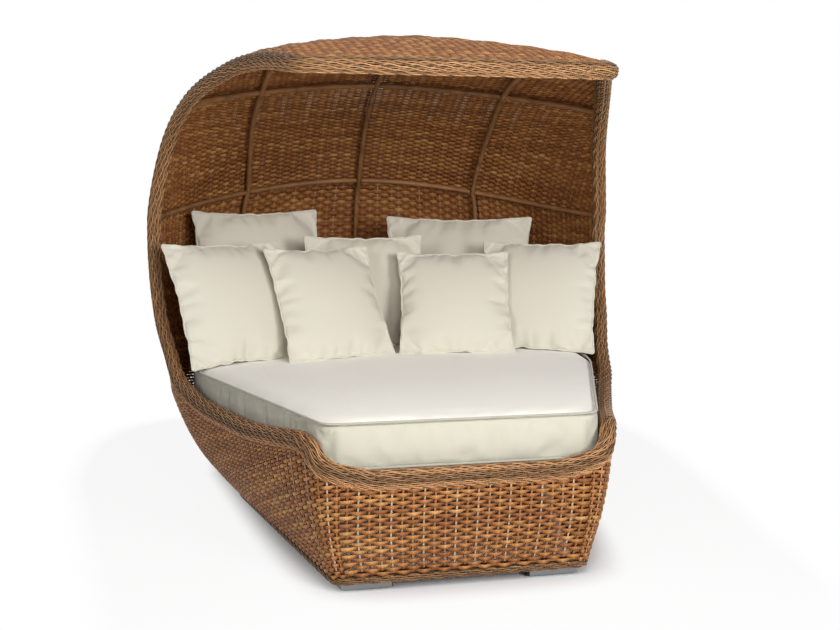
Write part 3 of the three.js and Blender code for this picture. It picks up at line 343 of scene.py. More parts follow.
class Shell:
    """The shell's outer surface and its rim, in the row's frame, from its driving sizes."""

    hoop_points = 33
    fine = 240
    edge_points, side_points, turn_points, points_between = 60, 160, 12, 30
    length_hoops, length_shares, width_samples = 101, 65, 400
    halvings, slope_rounds = 40, 8

    def __init__(self, sizes):
        self.sizes = sizes
        self.shift = 0.0
        self.curves = {
            name: table_curve(rows)
            for name, rows in {
                "width": SIDE_WIDTH_SHARES, "splay": SPLAY_SHARES, "centre": CENTRE_SHARES,
                "flare": FLARE_SHARES, "back": BACK_SHARES, "lean": LEAN_SHARES, "corner": CORNER_SHARES,
                "rib": RIB_SPREAD_SHARES, "stake": STAKE_SPREAD_SHARES,
            }.items()
        }
        height, depth = sizes.canopy_height, sizes.centre_depth
        self.hoop_end = height * HOOP_END_SHARE
        self.hoop_middle = height * HOOP_MIDDLE_SHARE
        end = self.outline(np.array([self.hoop_end]))
        self.hoop_angle = float(np.arccos((depth * HOOP_DEPTH_SHARE - end.centre[0]) / end.side[0]))
        self.hoop_place = self.hoop_angle / float(end.turn[0])
        widest = float(self.outline(np.array([height * WIDEST_SHARE])).side[0])
        arches = [self.arch(widest, *row) for row in HOOP_SHARES]
        self.hoops = np.array([*arches, self.wall_hoop(0), self.wall_hoop(height * HOOP_CONTINUED_SHARE)])
        self.last_hoop = len(HOOP_SHARES)
        heights = np.linspace(self.hoop_end / 2, self.hoop_middle, self.fine)
        self.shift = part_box("wall_back")[1].y - self.wall(np.zeros(self.fine), heights)[:, 1].max()
        self.side_depth = depth * HOOP_DEPTH_SHARE + self.shift
        self.back_reach = float(end.back[0] + end.centre[0]) - depth * HOOP_DEPTH_SHARE
        self.make_rim()

    def outline(self, z):
        sizes, share = self.sizes, z / self.sizes.canopy_height
        half = sizes.front_half_width * self.curves["width"](share)
        splay = sizes.side_splay * self.curves["splay"](share)
        centre = sizes.centre_depth * self.curves["centre"](share)
        side = (half + splay * centre) / np.hypot(1, splay) * self.curves["flare"](share)
        back = sizes.back_radius * self.curves["back"](share)
        front = -sizes.front_lean * self.curves["lean"](share)
        corner = sizes.corner_radius * self.curves["corner"](share)
        return Outline(half, splay, centre, side, back, front, corner)

    def wall(self, place, z):
        plan = self.outline(z).at(place)
        return np.stack([plan[..., 0], plan[..., 1] + self.shift, z], axis=-1)

    def wall_spot(self, place, z, reach=0.02):
        rise = self.sizes.canopy_height * reach / 2
        across = self.wall(np.minimum(place + reach, 4), z) - self.wall(np.maximum(place - reach, -4), z)
        up = self.wall(place, z + rise) - self.wall(place, z - rise)
        return self.wall(place, z), unit(np.cross(up, across))

    def hoop_height(self, angle):
        share = (np.sin(np.minimum(np.abs(angle), self.hoop_angle)) / math.sin(self.hoop_angle)) ** 2
        return self.hoop_middle - (self.hoop_middle - self.hoop_end) * share

    def spread(self, points):
        distance = travelled(points)
        return resampled(points, distance, np.linspace(0, distance[-1], self.hoop_points))

    def arch(self, widest, width, end_depth, end_height, middle_depth, middle_height, fullness, sweep):
        angle = np.linspace(0, math.pi / 2, self.fine + 1)
        fall = np.maximum(0, np.cos(angle)) ** (2 / fullness)
        x = widest * width * np.sin(angle) ** (2 / fullness)
        y = self.sizes.centre_depth * (end_depth + (middle_depth - end_depth) * fall)
        z = self.sizes.canopy_height * (end_height + (middle_height - end_height) * fall**sweep)
        return self.spread(np.stack([x, y, z], axis=1))

    def wall_hoop(self, drop):
        angle = np.linspace(0, self.hoop_angle, self.fine + 1)
        z = self.hoop_height(angle) - drop
        plan = self.outline(z).round_back(angle)
        return self.spread(np.stack([plan[:, 0], plan[:, 1], z], axis=1))

    def dome(self, hoop, share):
        """The canopy by hoop, 0 at the front edge, and by signed share from the middle, 0, to the rim, 1."""
        hoop, share = np.broadcast_arrays(np.asarray(hoop, float), np.asarray(share, float))
        x = np.minimum(np.abs(share), 1) * (self.hoop_points - 1)
        i = np.minimum(np.floor(x).astype(int), self.hoop_points - 2)
        part = (x - i)[..., None]
        last = len(self.hoops) - 1
        k = np.clip(np.floor(hoop).astype(int), 0, last - 1)
        t = (hoop - k)[..., None]

        def station(row, column):
            low = 2 * self.hoops[0][column] - self.hoops[1][column]
            high = 2 * self.hoops[last][column] - self.hoops[last - 1][column]
            inside = self.hoops[np.clip(row, 0, last), column]
            row = row[..., None]
            return np.where(row < 0, low, np.where(row > last, high, inside))

        def line(column):
            a, b, c, d = (station(k + offset, column) for offset in (-1, 0, 1, 2))
            start, finish = (c - a) / 2, (d - b) / 2
            cubic = (2 * b - 2 * c + start + finish) * t + (-3 * b + 3 * c - 2 * start - finish)
            return (cubic * t + start) * t + b

        point = line(i) * (1 - part) + line(i + 1) * part
        point[..., 0] *= np.where(share < 0, -1, 1)
        point[..., 1] += self.shift
        return point

    def dome_spot(self, hoop, share, reach=0.04):
        hoop, share = np.broadcast_arrays(np.asarray(hoop, float), np.asarray(share, float))
        right, left = np.minimum(share + reach, 1), np.maximum(share - reach, -1)
        across = self.dome(hoop, right) - self.dome(hoop, left)
        up = self.dome(np.maximum(hoop - reach, 0), share) - self.dome(hoop + reach, share)
        return self.dome(hoop, share), unit(np.cross(up, across))

    def hoop_lengths(self):
        """Hoop places with the hoops' half lengths and the distance down the canopy's middle."""
        places = np.linspace(0, self.last_hoop, self.length_hoops)
        shares = np.linspace(0, 1, self.length_shares)
        halves = np.array([travelled(self.dome(hoop, shares))[-1] for hoop in places])
        return places, halves, travelled(self.dome(places, 0))

    def share_at_width(self, hoop, width):
        """Share of a hoop at which it reaches a distance from the middle."""
        shares = np.linspace(0, 1, self.width_samples)
        return float(np.interp(width, self.dome(hoop, shares)[:, 0], shares))

    def rib_angle(self, spread):
        """Angle round the back at which the side ribs cross the lower hoop."""
        width = spread * float(self.curves["rib"](self.last_hoop))
        point = self.dome(self.last_hoop, self.share_at_width(self.last_hoop, width))
        centre = self.outline(point[2:3]).centre[0]
        return math.atan2(point[0], point[1] - self.shift - centre)

    def rib_place(self, spread):
        return self.rib_angle(spread) / float(self.outline(np.array([self.hoop_end])).turn[0])

    def place_at_depth(self, depth, z):
        near, far = 0.0, 2.0
        for _ in range(self.halvings):
            middle = (near + far) / 2
            if self.wall(np.array([middle]), np.array([z]))[0, 1] > depth + self.shift:
                near = middle
            else:
                far = middle
        return near

    def make_rim(self):
        """The rim line on the right half: points and normals from the canopy's middle to the seat's."""
        sizes, depth = self.sizes, self.sizes.centre_depth
        corner = self.dome(0, 1)
        front_share = 1 - sizes.canopy_corner / corner[0]
        side_start = sizes.canopy_corner / np.linalg.norm(corner - self.dome(1, 1))
        edge = self.dome_spot(0, np.linspace(0, front_share, self.edge_points))
        side = self.dome_spot(np.linspace(side_start, self.last_hoop, self.side_points), 1)
        t = np.linspace(0, 1, self.turn_points)[1:-1, None]
        first, last = edge[0][-1], side[0][0]
        turn = (first * (1 - t) + corner * t) * (1 - t) + (corner * (1 - t) + last * t) * t
        turned = unit(edge[1][-1] * (1 - t) + side[1][0] * t)
        controls = [(self.hoop_place, self.hoop_end)]
        for shares, top in ((RIM_SIDE_SHARES, self.hoop_end), (RIM_FORWARD_SHARES, sizes.corner_rim)):
            for share, rise in shares:
                z = sizes.arm_rim + (top - sizes.arm_rim) * rise
                controls.append((self.place_at_depth(depth * share, z), z))
        for place, rise in RIM_CORNER_SHARES:
            controls.append((place, sizes.seat_rim + (sizes.corner_rim - sizes.seat_rim) * rise))
        last_knot = len(controls) - 1
        knots = np.linspace(0, last_knot, self.points_between * last_knot + 1)[1:]
        places, heights = (table_curve(list(enumerate(column)))(knots) for column in zip(*controls))
        self.rim_places, self.rim_heights = places, heights
        low = self.wall_spot(places, heights)
        self.rim_points = np.concatenate([edge[0], turn, side[0], low[0]])
        self.rim_normals = np.concatenate([edge[1], turned, side[1], low[1]])
        on_wall = np.concatenate([np.zeros(len(edge[0]) + len(turn) + len(side[0])), places])
        distance = travelled(self.rim_points)
        self.rim_corner = float(distance[len(edge[0]) + len(turn)])
        self.rim_split = float(np.interp(ROLL_SPLIT, on_wall[-len(places):], distance[-len(places):]))

    def rim_height(self, place):
        return np.interp(np.abs(place), self.rim_places, self.rim_heights)

    def on_wall(self, place, z):
        """Whether a spot lies on the walls: over the bottom edge and under the rim or the lower hoop."""
        w = np.abs(place)
        split = (self.sizes.arm_rim + self.hoop_end) / 2
        high = self.rim_heights > self.sizes.corner_rim
        widest = np.interp(z, self.rim_heights[high][::-1], self.rim_places[high][::-1])
        under_hoop = z < self.hoop_height(w * self.outline(z).turn)
        above = (w < widest) & ((w > self.hoop_place) | under_hoop)
        below = (w < self.hoop_place) | (z < self.rim_height(w))
        return (z > self.sizes.bottom) & np.where(z > split, above, below)

    def row_height(self, start, place):
        """Heights of a woven row, given by its height at the side, at places round the wall."""
        level = self.sizes.canopy_height * ROW_LEVEL_SHARE
        rise = (self.hoop_middle - self.hoop_end) / self.back_reach
        fall = ROW_FALL * min(1, max(0, (level - start) / ROW_FALL_REACH))
        slope = rise * (start - level) / (self.hoop_end - level) if start > level else -fall
        arched = min(1, max(0, (start - level) / (self.hoop_end - level)))
        z = np.full(len(place), float(start))
        for _ in range(self.slope_rounds):
            held = np.clip(z, self.sizes.bottom / 2, self.sizes.canopy_height * FLARE_SHARES[-1][0])
            back = self.wall(place, held)[:, 1] - self.side_depth
            angle = np.minimum(np.abs(place) * self.outline(held).turn, self.hoop_angle)
            arch = self.back_reach * (1 - (np.sin(angle) / math.sin(self.hoop_angle)) ** 2)
            behind = np.abs(place) < self.hoop_place
            z = start + slope * np.where(behind, back * (1 - arched) + arch * arched, back)
        return z


class StrandMesh:
    """Many thin strands as one mesh: rings of a section along each line, closed at both ends."""

    def __init__(self):
        self.points, self.quads, self.tints, self.parts = [], [], [], []
        self.count = 0

    def tube(self, ring, tint, part=0):
        """Rings of points joined along a line and capped; ring is line points by sides by 3."""
        length, sides = ring.shape[:2]
        rows = np.arange(length - 1)[:, None] * sides
        here, after = np.arange(sides)[None], (np.arange(sides)[None] + 1) % sides
        quads = np.stack([rows + here, rows + here + sides, rows + after + sides, rows + after], axis=-1)
        caps = np.array([[0, k, k + 1, k + 2] for k in range(1, sides - 2, 2)])
        faces = np.concatenate([quads.reshape(-1, 4), caps, caps[:, ::-1] + (length - 1) * sides])
        self.points.append(ring.reshape(-1, 3))
        self.quads.append(faces + self.count)
        self.tints.append(np.repeat(np.broadcast_to(tint, length), sides))
        self.parts.append(np.full(len(faces), part))
        self.count += length * sides

    def add(self, line, normals, width, thickness, tint, sides=4):
        """A strand of even section along a line: a flat strip, or round with more sides."""
        if len(line) < 2:
            return
        _, side, out = frame_along(line, normals)
        angle = TURN * (np.arange(sides) + 0.5) / sides
        reach = 1 / math.cos(math.pi / sides) / 2
        half_width = np.broadcast_to(np.asarray(width) * reach, len(line))[:, None, None]
        half_thickness = np.broadcast_to(np.asarray(thickness) * reach, len(line))[:, None, None]
        ring = (
            line[:, None]
            + side[:, None] * half_width * np.cos(angle)[None, :, None]
            + out[:, None] * half_thickness * np.sin(angle)[None, :, None]
        )
        self.tube(ring, tint)

    def finish(self, name, *finishes):
        mesh = bpy.data.meshes.new(name)
        piece = dressed(linked(name, mesh), *finishes)
        points, quads = np.concatenate(self.points), np.concatenate(self.quads)
        mesh.vertices.add(len(points))
        mesh.vertices.foreach_set("co", points.astype(np.float32).ravel())
        mesh.loops.add(quads.size)
        mesh.loops.foreach_set("vertex_index", quads.astype(np.int32).ravel())
        mesh.polygons.add(len(quads))
        mesh.polygons.foreach_set("loop_start", np.arange(0, quads.size, 4, dtype=np.int32))
        mesh.polygons.foreach_set("material_index", np.concatenate(self.parts).astype(np.int32))
        mesh.update(calc_edges=True)
        tint = mesh.attributes.new("tint", "FLOAT", "POINT")
        tint.data.foreach_set("value", np.concatenate(self.tints).astype(np.float32))
        mesh.shade_smooth()
        return piece


def linked(name, data):
    """A new object of the scene."""
    piece = bpy.data.objects.new(name, data)
    bpy.context.scene.collection.objects.link(piece)
    return piece


def poured(name, bm):
    """A new object with a bmesh's shape. The bmesh is freed."""
    mesh = bpy.data.meshes.new(name)
    bm.to_mesh(mesh)
    bm.free()
    return linked(name, mesh)


def dressed(piece, *finishes):
    """A piece with finishes in place of any that it has."""
    piece.data.materials.clear()
    for name in finishes:
        piece.data.materials.append(finish_called(name))
    return piece


def settle(piece, slot, *nodes):
    """Rides a finished piece on the body and hides the nodes that it stands for. Its slot is not used."""
    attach(piece, "root")
    if nodes:
        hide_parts(*nodes)
    return piece


# How tints differ: the middle one, how far strands differ, how much one changes, and over how many points
STRIP_TINTS = (0.5, 0.12, 0.2, 9)
PALE_TINTS = (0.88, 0.05, 0.04, 9)
THIN_TINTS = (0.45, 0.12, 0.1, 9)
RIM_TINTS = (0.45, 0.3, 0.16, 20)
RIB_TINTS = (0.5, 0.1, 0.12, 12)


def colour_walk(rng, count, middle, spread, change, reach):
    """A strand's tint along its length: its own level, changing every few points and closed on itself."""
    knots = rng.normal(0, change, max(2, round(count / reach)))
    place = np.linspace(0, len(knots), count)
    wander = np.interp(place, np.arange(len(knots) + 1), np.append(knots, knots[0]))
    return np.clip(middle + rng.normal(0, spread) + wander, 0, 1)


class Value:
    """A shader socket in an expression."""

    def __init__(self, tree, socket):
        self.tree, self.socket = tree, socket

    def maths(self, operation, *others):
        return self.tree.maths(operation, self, *others)

    def __add__(self, other):
        return self.maths("ADD", other)

    __radd__ = __add__

    def __mul__(self, other):
        return self.maths("MULTIPLY", other)

    __rmul__ = __mul__

    def __sub__(self, other):
        return self.maths("SUBTRACT", other)

    def __rsub__(self, other):
        return self.tree.maths("SUBTRACT", other, self)

    def out(self, name):
        """Another output of the same node."""
        return Value(self.tree, self.socket.node.outputs[name])


class NodeTree:
    """A shader's nodes, built as expressions."""

    def __init__(self, owner):
        owner.use_nodes = True
        self.nodes, self.links = owner.node_tree.nodes, owner.node_tree.links

    def node(self, kind, settings=None, **inputs):
        node = self.nodes.new(kind)
        for key, value in (settings or {}).items():
            if key == "stops":
                for i, (place, shade) in enumerate(value):
                    stops = node.color_ramp.elements
                    stop = stops[i] if i < len(stops) else stops.new(place)
                    stop.position, stop.color = place, (*shade, 1)
            else:
                setattr(node, key, value)
        for key, value in inputs.items():
            index = int(key[6:]) if key.startswith("input_") else key.replace("_", " ")
            self.feed(node.inputs[index], value)
        return Value(self, next(socket for socket in node.outputs if socket.enabled))

    def feed(self, socket, value):
        if isinstance(value, Value):
            self.links.new(value.socket, socket)
        elif isinstance(value, (tuple, list)) and len(socket.default_value) == 4:
            socket.default_value = (*value, 1)
        else:
            socket.default_value = value

    def maths(self, operation, *values):
        inputs = {f"input_{i}": value for i, value in enumerate(values)}
        return self.node("ShaderNodeMath", {"operation": operation}, **inputs)

    def seen(self):
        """Whether the camera sees a place, straight or in a reflection."""
        path = self.node("ShaderNodeLightPath")
        return path.out("Is Camera Ray").maths("MAXIMUM", path.out("Is Glossy Ray"))

    def surface(self, share, lit, white, output):
        """Ends the tree in its lit shader, with a share of a white one."""
        lit = Value(self, lit.outputs[0])
        mixed = self.node("ShaderNodeMixShader", input_0=share, input_1=lit, input_2=white)
        self.links.new(mixed.socket, self.nodes[output].inputs["Surface"])


class Finish(NodeTree):
    """A material with one Principled shader."""

    def __init__(self, name, roughness=0.5, metallic=0.0, specular=0.5, sheen=0.0):
        self.material = bpy.data.materials.new(name)
        super().__init__(self.material)
        self.shader = self.nodes["Principled BSDF"]
        self.set("Roughness", roughness)
        self.set("Metallic", metallic)
        self.set("Specular IOR Level", specular)
        self.set("Sheen Weight", sheen)

    def set(self, name, value):
        self.feed(self.shader.inputs[name], value)

    def place(self, scale=(1, 1, 1)):
        spot = self.node("ShaderNodeTexCoord").out("Object")
        return self.node("ShaderNodeMapping", Vector=spot, Scale=Vector(scale))

    def noise(self, scale, detail=2.0, vector=None):
        return self.node("ShaderNodeTexNoise", Vector=vector or self.place(), Scale=scale, Detail=detail)

    def mix(self, share, a, b):
        return self.node("ShaderNodeMix", {"data_type": "RGBA"}, input_0=share, input_6=a, input_7=b)

    def bump(self, height, strength, distance):
        self.set("Normal", self.node("ShaderNodeBump", Height=height, Strength=strength, Distance=distance))


def toned(shade, *shares):
    """A colour times one share, or times a share for each of its three parts."""
    return tuple(c * share for c, share in zip(shade, shares * (3 // len(shares))))


def strand_finish(name, dark, middle, light, scuffs, roughness=0.46):
    """A synthetic strand: its own tint, which on the woven strips also holds painted shade in their dips,
    small scuffs and a fine grain.
    """
    finish = Finish(name, roughness, specular=0.2)
    own = finish.node("ShaderNodeAttribute", {"attribute_name": "tint"}).out("Fac")
    tint = own + (finish.noise(38.0, detail=3.0) - 0.5) * scuffs
    stops = [(0.08, dark), (0.5, middle), (0.92, light)]
    shade = finish.node("ShaderNodeValToRGB", {"stops": stops}, Fac=tint)
    finish.set("Base Color", finish.mix((finish.noise(420.0) - 0.35) * 0.5, shade, toned(dark, 0.55)))
    finish.set("Roughness", finish.noise(120.0) * 0.25 + (roughness - 0.12))
    finish.bump(finish.noise(900.0, detail=3.0), strength=0.35, distance=0.0004)
    return finish.material


def canvas_finish(name, shade):
    """Outdoor canvas: a plain weave of fine threads, slight slubs and a faint unevenness of colour."""
    finish = Finish(name, roughness=0.88, specular=0.2, sheen=0.45)
    rise, across = (
        finish.node("ShaderNodeTexWave", {"bands_direction": way}, Vector=finish.place(), Scale=520.0)
        for way in ("Z", "X")
    )
    slub = finish.noise(9.0, detail=4.0, vector=finish.place((1, 1, 14)))
    base = finish.mix(finish.noise(3.2, detail=3.0) * 0.22, shade, toned(shade, 0.93, 0.92, 0.88))
    finish.set("Base Color", finish.mix((finish.noise(260.0) - 0.4) * 0.3, base, toned(shade, 0.8)))
    finish.bump(rise.maths("MULTIPLY", across) * 0.6 + slub * 0.4, strength=0.25, distance=0.0005)
    return finish.material


def plain_finish(name, shade, roughness, grain):
    """Powder coat, board or plastic: slightly cloudy, with a fine grain."""
    finish = Finish(name, roughness)
    cloud = finish.noise(12.0, detail=3.0)
    finish.set("Base Color", finish.mix(cloud * 0.5, shade, toned(shade, 0.7)))
    finish.set("Roughness", cloud * 0.15 + (roughness - 0.07))
    finish.bump(finish.noise(grain, detail=3.0), strength=0.3, distance=0.0005)
    return finish.material


def brushed_finish(name, shade):
    """Brushed metal: fine scratches along the bars and a slightly uneven gloss."""
    finish = Finish(name, roughness=0.34, metallic=1.0)
    scratches = finish.noise(220.0, detail=4.0, vector=finish.place((0.06, 3, 3)))
    finish.set("Base Color", finish.mix(scratches * 0.5, shade, toned(shade, 0.78)))
    finish.set("Roughness", scratches * 0.25 + 0.24)
    finish.bump(scratches, strength=0.2, distance=0.0003)
    return finish.material


# Each finish: what makes it, its colours with their shares, then what else that takes
FINISHES = {
    "woven_strip": (strand_finish, [("russet", 1), ("brown", 1), ("honey", 1)], 0.4),
    "stake_strand": (strand_finish, [("russet", 1), ("brown", 1), ("pale", 1)], 0.3),
    "rim_strand": (strand_finish, [("rim", 0.36), ("rim", 0.8), ("rim", 1.4)], 0.2),
    "rib_wrap": (strand_finish, [("rib", 0.5), ("rib", 1), ("rib", 1.4)], 0.3),
    "packing": (plain_finish, [("packing", 1)], 0.8, 160.0),
    "canvas": (canvas_finish, [("canvas", 1)]),
    "top_canvas": (canvas_finish, [("top", 1)]),
    "band_canvas": (canvas_finish, [("band", 1)]),
    "piping": (canvas_finish, [("canvas", 0.97)]),
    "band_piping": (canvas_finish, [("band", 0.8)]),
    "powder_coat": (plain_finish, [("frame", 1)], 0.45, 700.0),
    "deck_board": (plain_finish, [("deck", 1)], 0.7, 60.0),
    "brushed_metal": (brushed_finish, [("metal", 1)]),
    "cap_plastic": (plain_finish, [("cap", 1)], 0.5, 500.0),
    "glide_plastic": (plain_finish, [("glide", 1)], 0.5, 500.0),
}


@functools.cache
def finish_called(name):
    """A finish's material, made when it is first asked for."""
    maker, shades, *rest = FINISHES[name]
    colours = bpy.context.scene.daybed_colours
    return maker(name, *(toned(getattr(colours, key), share) for key, share in shades), *rest)


# A strip's path is squarer than a wave. Its width in shares of the pitch, how deep it passes and how much it
# narrows behind a stake change from under the seat to above it. The canopy's front is woven more openly.
# Strips are painted darker where they dive behind a stake, as painted shade in the dips. Strips and stakes
# are a little uneven. Every third stake is the single pale one.
WAVE_FULLNESS = 0.6
LOW_HEIGHTS = (0.4, 0.5)
STRIP_SHARES = (0.9, 1.42)
WAVE_SHARES = (1, 0.7)
PINCH_SHARES = (1, 0.1)
OPEN_SHARE = 0.58
OPEN_HOOPS = (1.0, 2.6)
OPEN_MIDDLE = 0.75
DIP_PAINTED_SHADE = 0.9
UNEVENNESS = 0.06
STAKE_TURN = 3
STRAND_OFFSET = 0.62
CANOPY_STAKE_STEP = 0.032
WALL_STAKE_STEP = 0.02
WALL_HEIGHTS = (0.03, 1.3)
FRONT_HEIGHT = 0.06
WALL_SAMPLES = 2000
CANOPY_PANELS = ["canopy_front", "canopy_rear"]
WALL_PANELS = ["wall_back", "wall_left", "wall_right", "front_skirt"]
WEAVE_SEED, RIM_SEED, RIB_SEED, CREASE_SEED = 7, 11, 17, 29


class WeaveWriter:
    """Rows of strip and stakes of a weave, gathered by the panel that they belong to."""

    def __init__(self, sizes, skin, rng):
        self.sizes, self.middle, self.rng = sizes, skin / 2, rng
        self.strips, self.stakes = {}, {}

    def row(self, panel, points, normals, pitch, phase, tint, fullness=1.0):
        sizes, jitter = self.sizes, self.rng.normal(0, UNEVENNESS, (2, len(points)))
        turn = np.cos(math.pi * phase)
        crown = np.abs(turn) ** WAVE_FULLNESS
        wave = np.sign(turn) * crown * (1 + jitter[0])
        share, depth, pinch = (np.interp(points[:, 2], LOW_HEIGHTS, ends)
                               for ends in (STRIP_SHARES, WAVE_SHARES, PINCH_SHARES))
        widest = np.minimum(sizes.strip_width, share * fullness * pitch)
        width = widest * (1 - sizes.pinch * pinch * (1 - np.clip(wave, -1, 1)) / 2) * (1 + jitter[1] / 2)
        mesh = self.strips.setdefault(panel, StrandMesh())
        line = points + normals * (sizes.strip_wave * depth * wave - self.middle)[:, None]
        # Painted shade: the strip's tint is darkened where it dives behind a stake
        tint = np.clip(tint - DIP_PAINTED_SHADE * (1 - crown), 0, 1)
        mesh.add(line, normals, width, sizes.strip_thickness, tint)

    def stake(self, panel, points, normals, index):
        if len(points) < 2:
            return
        sizes, mesh = self.sizes, self.stakes.setdefault(panel, StrandMesh())
        line = points - normals * self.middle
        if index % STAKE_TURN == 0:
            tint = colour_walk(self.rng, len(line), *PALE_TINTS)
            mesh.add(line, normals, sizes.stake_width, sizes.stake_thickness, tint)
            return
        thin, side = sizes.thin_width, frame_along(line, normals)[1]
        for offset in (-STRAND_OFFSET, STRAND_OFFSET):
            tint = colour_walk(self.rng, len(line), *THIN_TINTS)
            mesh.add(line + side * thin * offset, normals, thin, thin, tint)

    def finish(self, nodes):
        for panel, node in nodes.items():
            settle(self.strips[panel].finish(f"{panel}_strips", "woven_strip"), "wicker", node)
            settle(self.stakes[panel].finish(f"{panel}_stakes", "stake_strand"), "wicker")


def canopy_spot(shell, sizes, hoop, share, stake):
    """A place on the canopy, raised by shallow bulges that fade towards its edges."""
    points, normals = shell.dome_spot(hoop, share)
    fade = np.clip(np.minimum(hoop, shell.last_hoop - hoop), 0, 1) * np.clip(4 * (1 - np.abs(share)), 0, 1)
    bulge = sizes.ripple * (np.cos(TURN * stake / sizes.ripple_stakes) + 1) / 2 * fade
    return points + normals * np.asarray(bulge)[:, None], normals


def weave_canopy(shell, writer, sizes):
    """Rows along the canopy's hoops and stakes across them. Returns the number of rows."""
    places, halves, middle = shell.hoop_lengths()
    count = round(middle[-1] / sizes.row_pitch)
    rows = np.interp((np.arange(count) + 0.5) * middle[-1] / count, middle, places)
    steps = np.gradient(rows)
    for j, (hoop, step) in enumerate(zip(rows, steps)):
        half = np.interp(hoop, places, halves)
        pitch = sizes.stake_pitch * shell.curves["stake"](hoop) / sizes.samples
        reach = int(half / pitch)
        k = np.arange(-reach, reach + 1)
        share = k * pitch / half
        points, normals = canopy_spot(shell, sizes, hoop, share, k / sizes.samples)
        behind, ahead = (shell.dome(hoop + change, share) for change in (step / 2, -step / 2))
        near = np.linalg.norm(behind - ahead, axis=-1)
        panel = CANOPY_PANELS[int(hoop >= UPPER_HOOP)]
        tint = colour_walk(writer.rng, len(k), *STRIP_TINTS)
        openness = np.interp(hoop, OPEN_HOOPS, (1, 0)) * (OPEN_MIDDLE + (1 - OPEN_MIDDLE) * np.abs(share))
        fullness = 1 - (1 - OPEN_SHARE) * openness
        writer.row(panel, points, normals, near, k / sizes.samples + j, tint, fullness)
    fine = np.linspace(0, shell.last_hoop, int(middle[-1] / CANOPY_STAKE_STEP))
    half = np.interp(fine, places, halves)
    spread = sizes.stake_pitch * shell.curves["stake"](fine)
    last = int(halves[-1] / sizes.stake_pitch)
    for k in range(-last, last + 1):
        share = k * spread / half
        inside = np.abs(share) <= 1
        for panel, kept in zip(CANOPY_PANELS, (fine < UPPER_HOOP, fine >= UPPER_HOOP)):
            kept = kept & inside
            if panel == "canopy_front" and kept.any():
                kept[min(len(kept) - 1, np.flatnonzero(kept)[-1] + 1)] |= inside[-1]
            points, normals = canopy_spot(shell, sizes, fine[kept], share[kept], np.full(kept.sum(), k))
            writer.stake(panel, points, normals, k)
    return count


def wall_stakes(shell, sizes):
    """Places of the stakes round the wall's half outline, in step with the canopy's stakes."""
    hoop = shell.dome(shell.last_hoop, np.linspace(0, 1, shell.width_samples))
    distance = travelled(hoop)
    count = int(distance[-1] / sizes.stake_pitch)
    spots = resampled(hoop, distance, np.arange(count + 1) * sizes.stake_pitch)
    outline = shell.outline(spots[:, 2])
    behind = np.arctan2(spots[:, 0], spots[:, 1] - shell.shift - outline.centre) / outline.turn
    places = np.linspace(behind[-1], 4, WALL_SAMPLES)
    run = travelled(shell.wall(places, np.full(len(places), shell.sizes.arm_rim)))
    ahead = round(run[-1] / sizes.stake_pitch)
    forward = np.interp(np.arange(1, ahead + 1) * run[-1] / ahead, run, places)
    return np.concatenate([behind, forward])


def wall_panels(places, rib_place):
    """The panel that each place round the wall belongs to, as an index."""
    w = np.abs(places)
    return np.select([w <= rib_place, w < 3, w >= 3], [0, np.where(places < 0, 1, 2), 3])


def weave_walls(shell, writer, sizes, first_row):
    """Rows round the walls and stakes up them, by panel. Rows start and end at the left side rib."""
    stakes = wall_stakes(shell, sizes)
    count = len(stakes) - 1
    half = np.interp(np.arange(count * sizes.samples + 1) / sizes.samples, np.arange(count + 1), stakes)
    rib_place = shell.rib_place(bpy.context.scene.daybed_rim.rib_spread)
    first = int(np.searchsorted(half, rib_place))
    places = np.concatenate([-half[first::-1], half[1:], -half[-2:first - 1:-1]])
    phase = np.arange(len(places)) / sizes.samples - first / sizes.samples
    panels = wall_panels(places, rib_place)
    panels[-1] = WALL_PANELS.index("wall_left")
    front = shell.wall(np.array([4.0]), np.array([FRONT_HEIGHT]))[0, 1]
    lowest = shell.sizes.bottom - ROW_FALL * (shell.side_depth - front)
    starts = np.arange(shell.hoop_end - sizes.row_pitch / 2, lowest, -sizes.row_pitch)
    for j, start in enumerate(starts):
        z = shell.row_height(start, places)
        above = shell.row_height(start + sizes.row_pitch, places)
        held = np.clip(z, *WALL_HEIGHTS)
        kept = shell.on_wall(places, held) & (z > shell.sizes.bottom) & (z < WALL_HEIGHTS[1])
        if not kept.any():
            continue
        points, normals = shell.wall_spot(places, held)
        near = np.linalg.norm(shell.wall(places, np.clip(above, *WALL_HEIGHTS)) - points, axis=-1)
        tint = colour_walk(writer.rng, len(places), *STRIP_TINTS)
        breaks = np.flatnonzero(np.diff(np.where(kept, panels, -1))) + 1
        for run in np.split(np.arange(len(places)), breaks):
            if not kept[run[0]]:
                continue
            if run[-1] + 1 < len(places) and kept[run[-1] + 1]:
                run = np.append(run, run[-1] + 1)
            panel, turns = WALL_PANELS[panels[run[0]]], phase[run] + first_row + j
            writer.row(panel, points[run], normals[run], near[run], turns, tint[run])
    z = np.arange(shell.sizes.bottom, WALL_HEIGHTS[1], WALL_STAKE_STEP)
    for side in (-1, 1):
        for k, (stake, panel) in enumerate(zip(side * stakes, wall_panels(side * stakes, rib_place))):
            if side < 0 and k in (0, count):
                continue
            place = np.full(len(z), stake)
            kept = shell.on_wall(place, z)
            if kept.any():
                writer.stake(WALL_PANELS[panel], *shell.wall_spot(place[kept], z[kept]), k)


# Steps in one twist of a strand; the turn of the bottom trim's rows from the middle of its outer and inner
# face; points of a rolled section; a direction that no rib runs along, the points of a rib's line and its
# sides; and the places of a half outline
TWIST_STEPS = 8
TRIM_TURN = 0.55
SECTION_SAMPLES = 721
RIB_SIDE = [1.0, 0.35, 0.2]
RIB_SAMPLES = 60
RIB_SIDES = 10
HALF_PLACES = np.linspace(0, 4, 900)


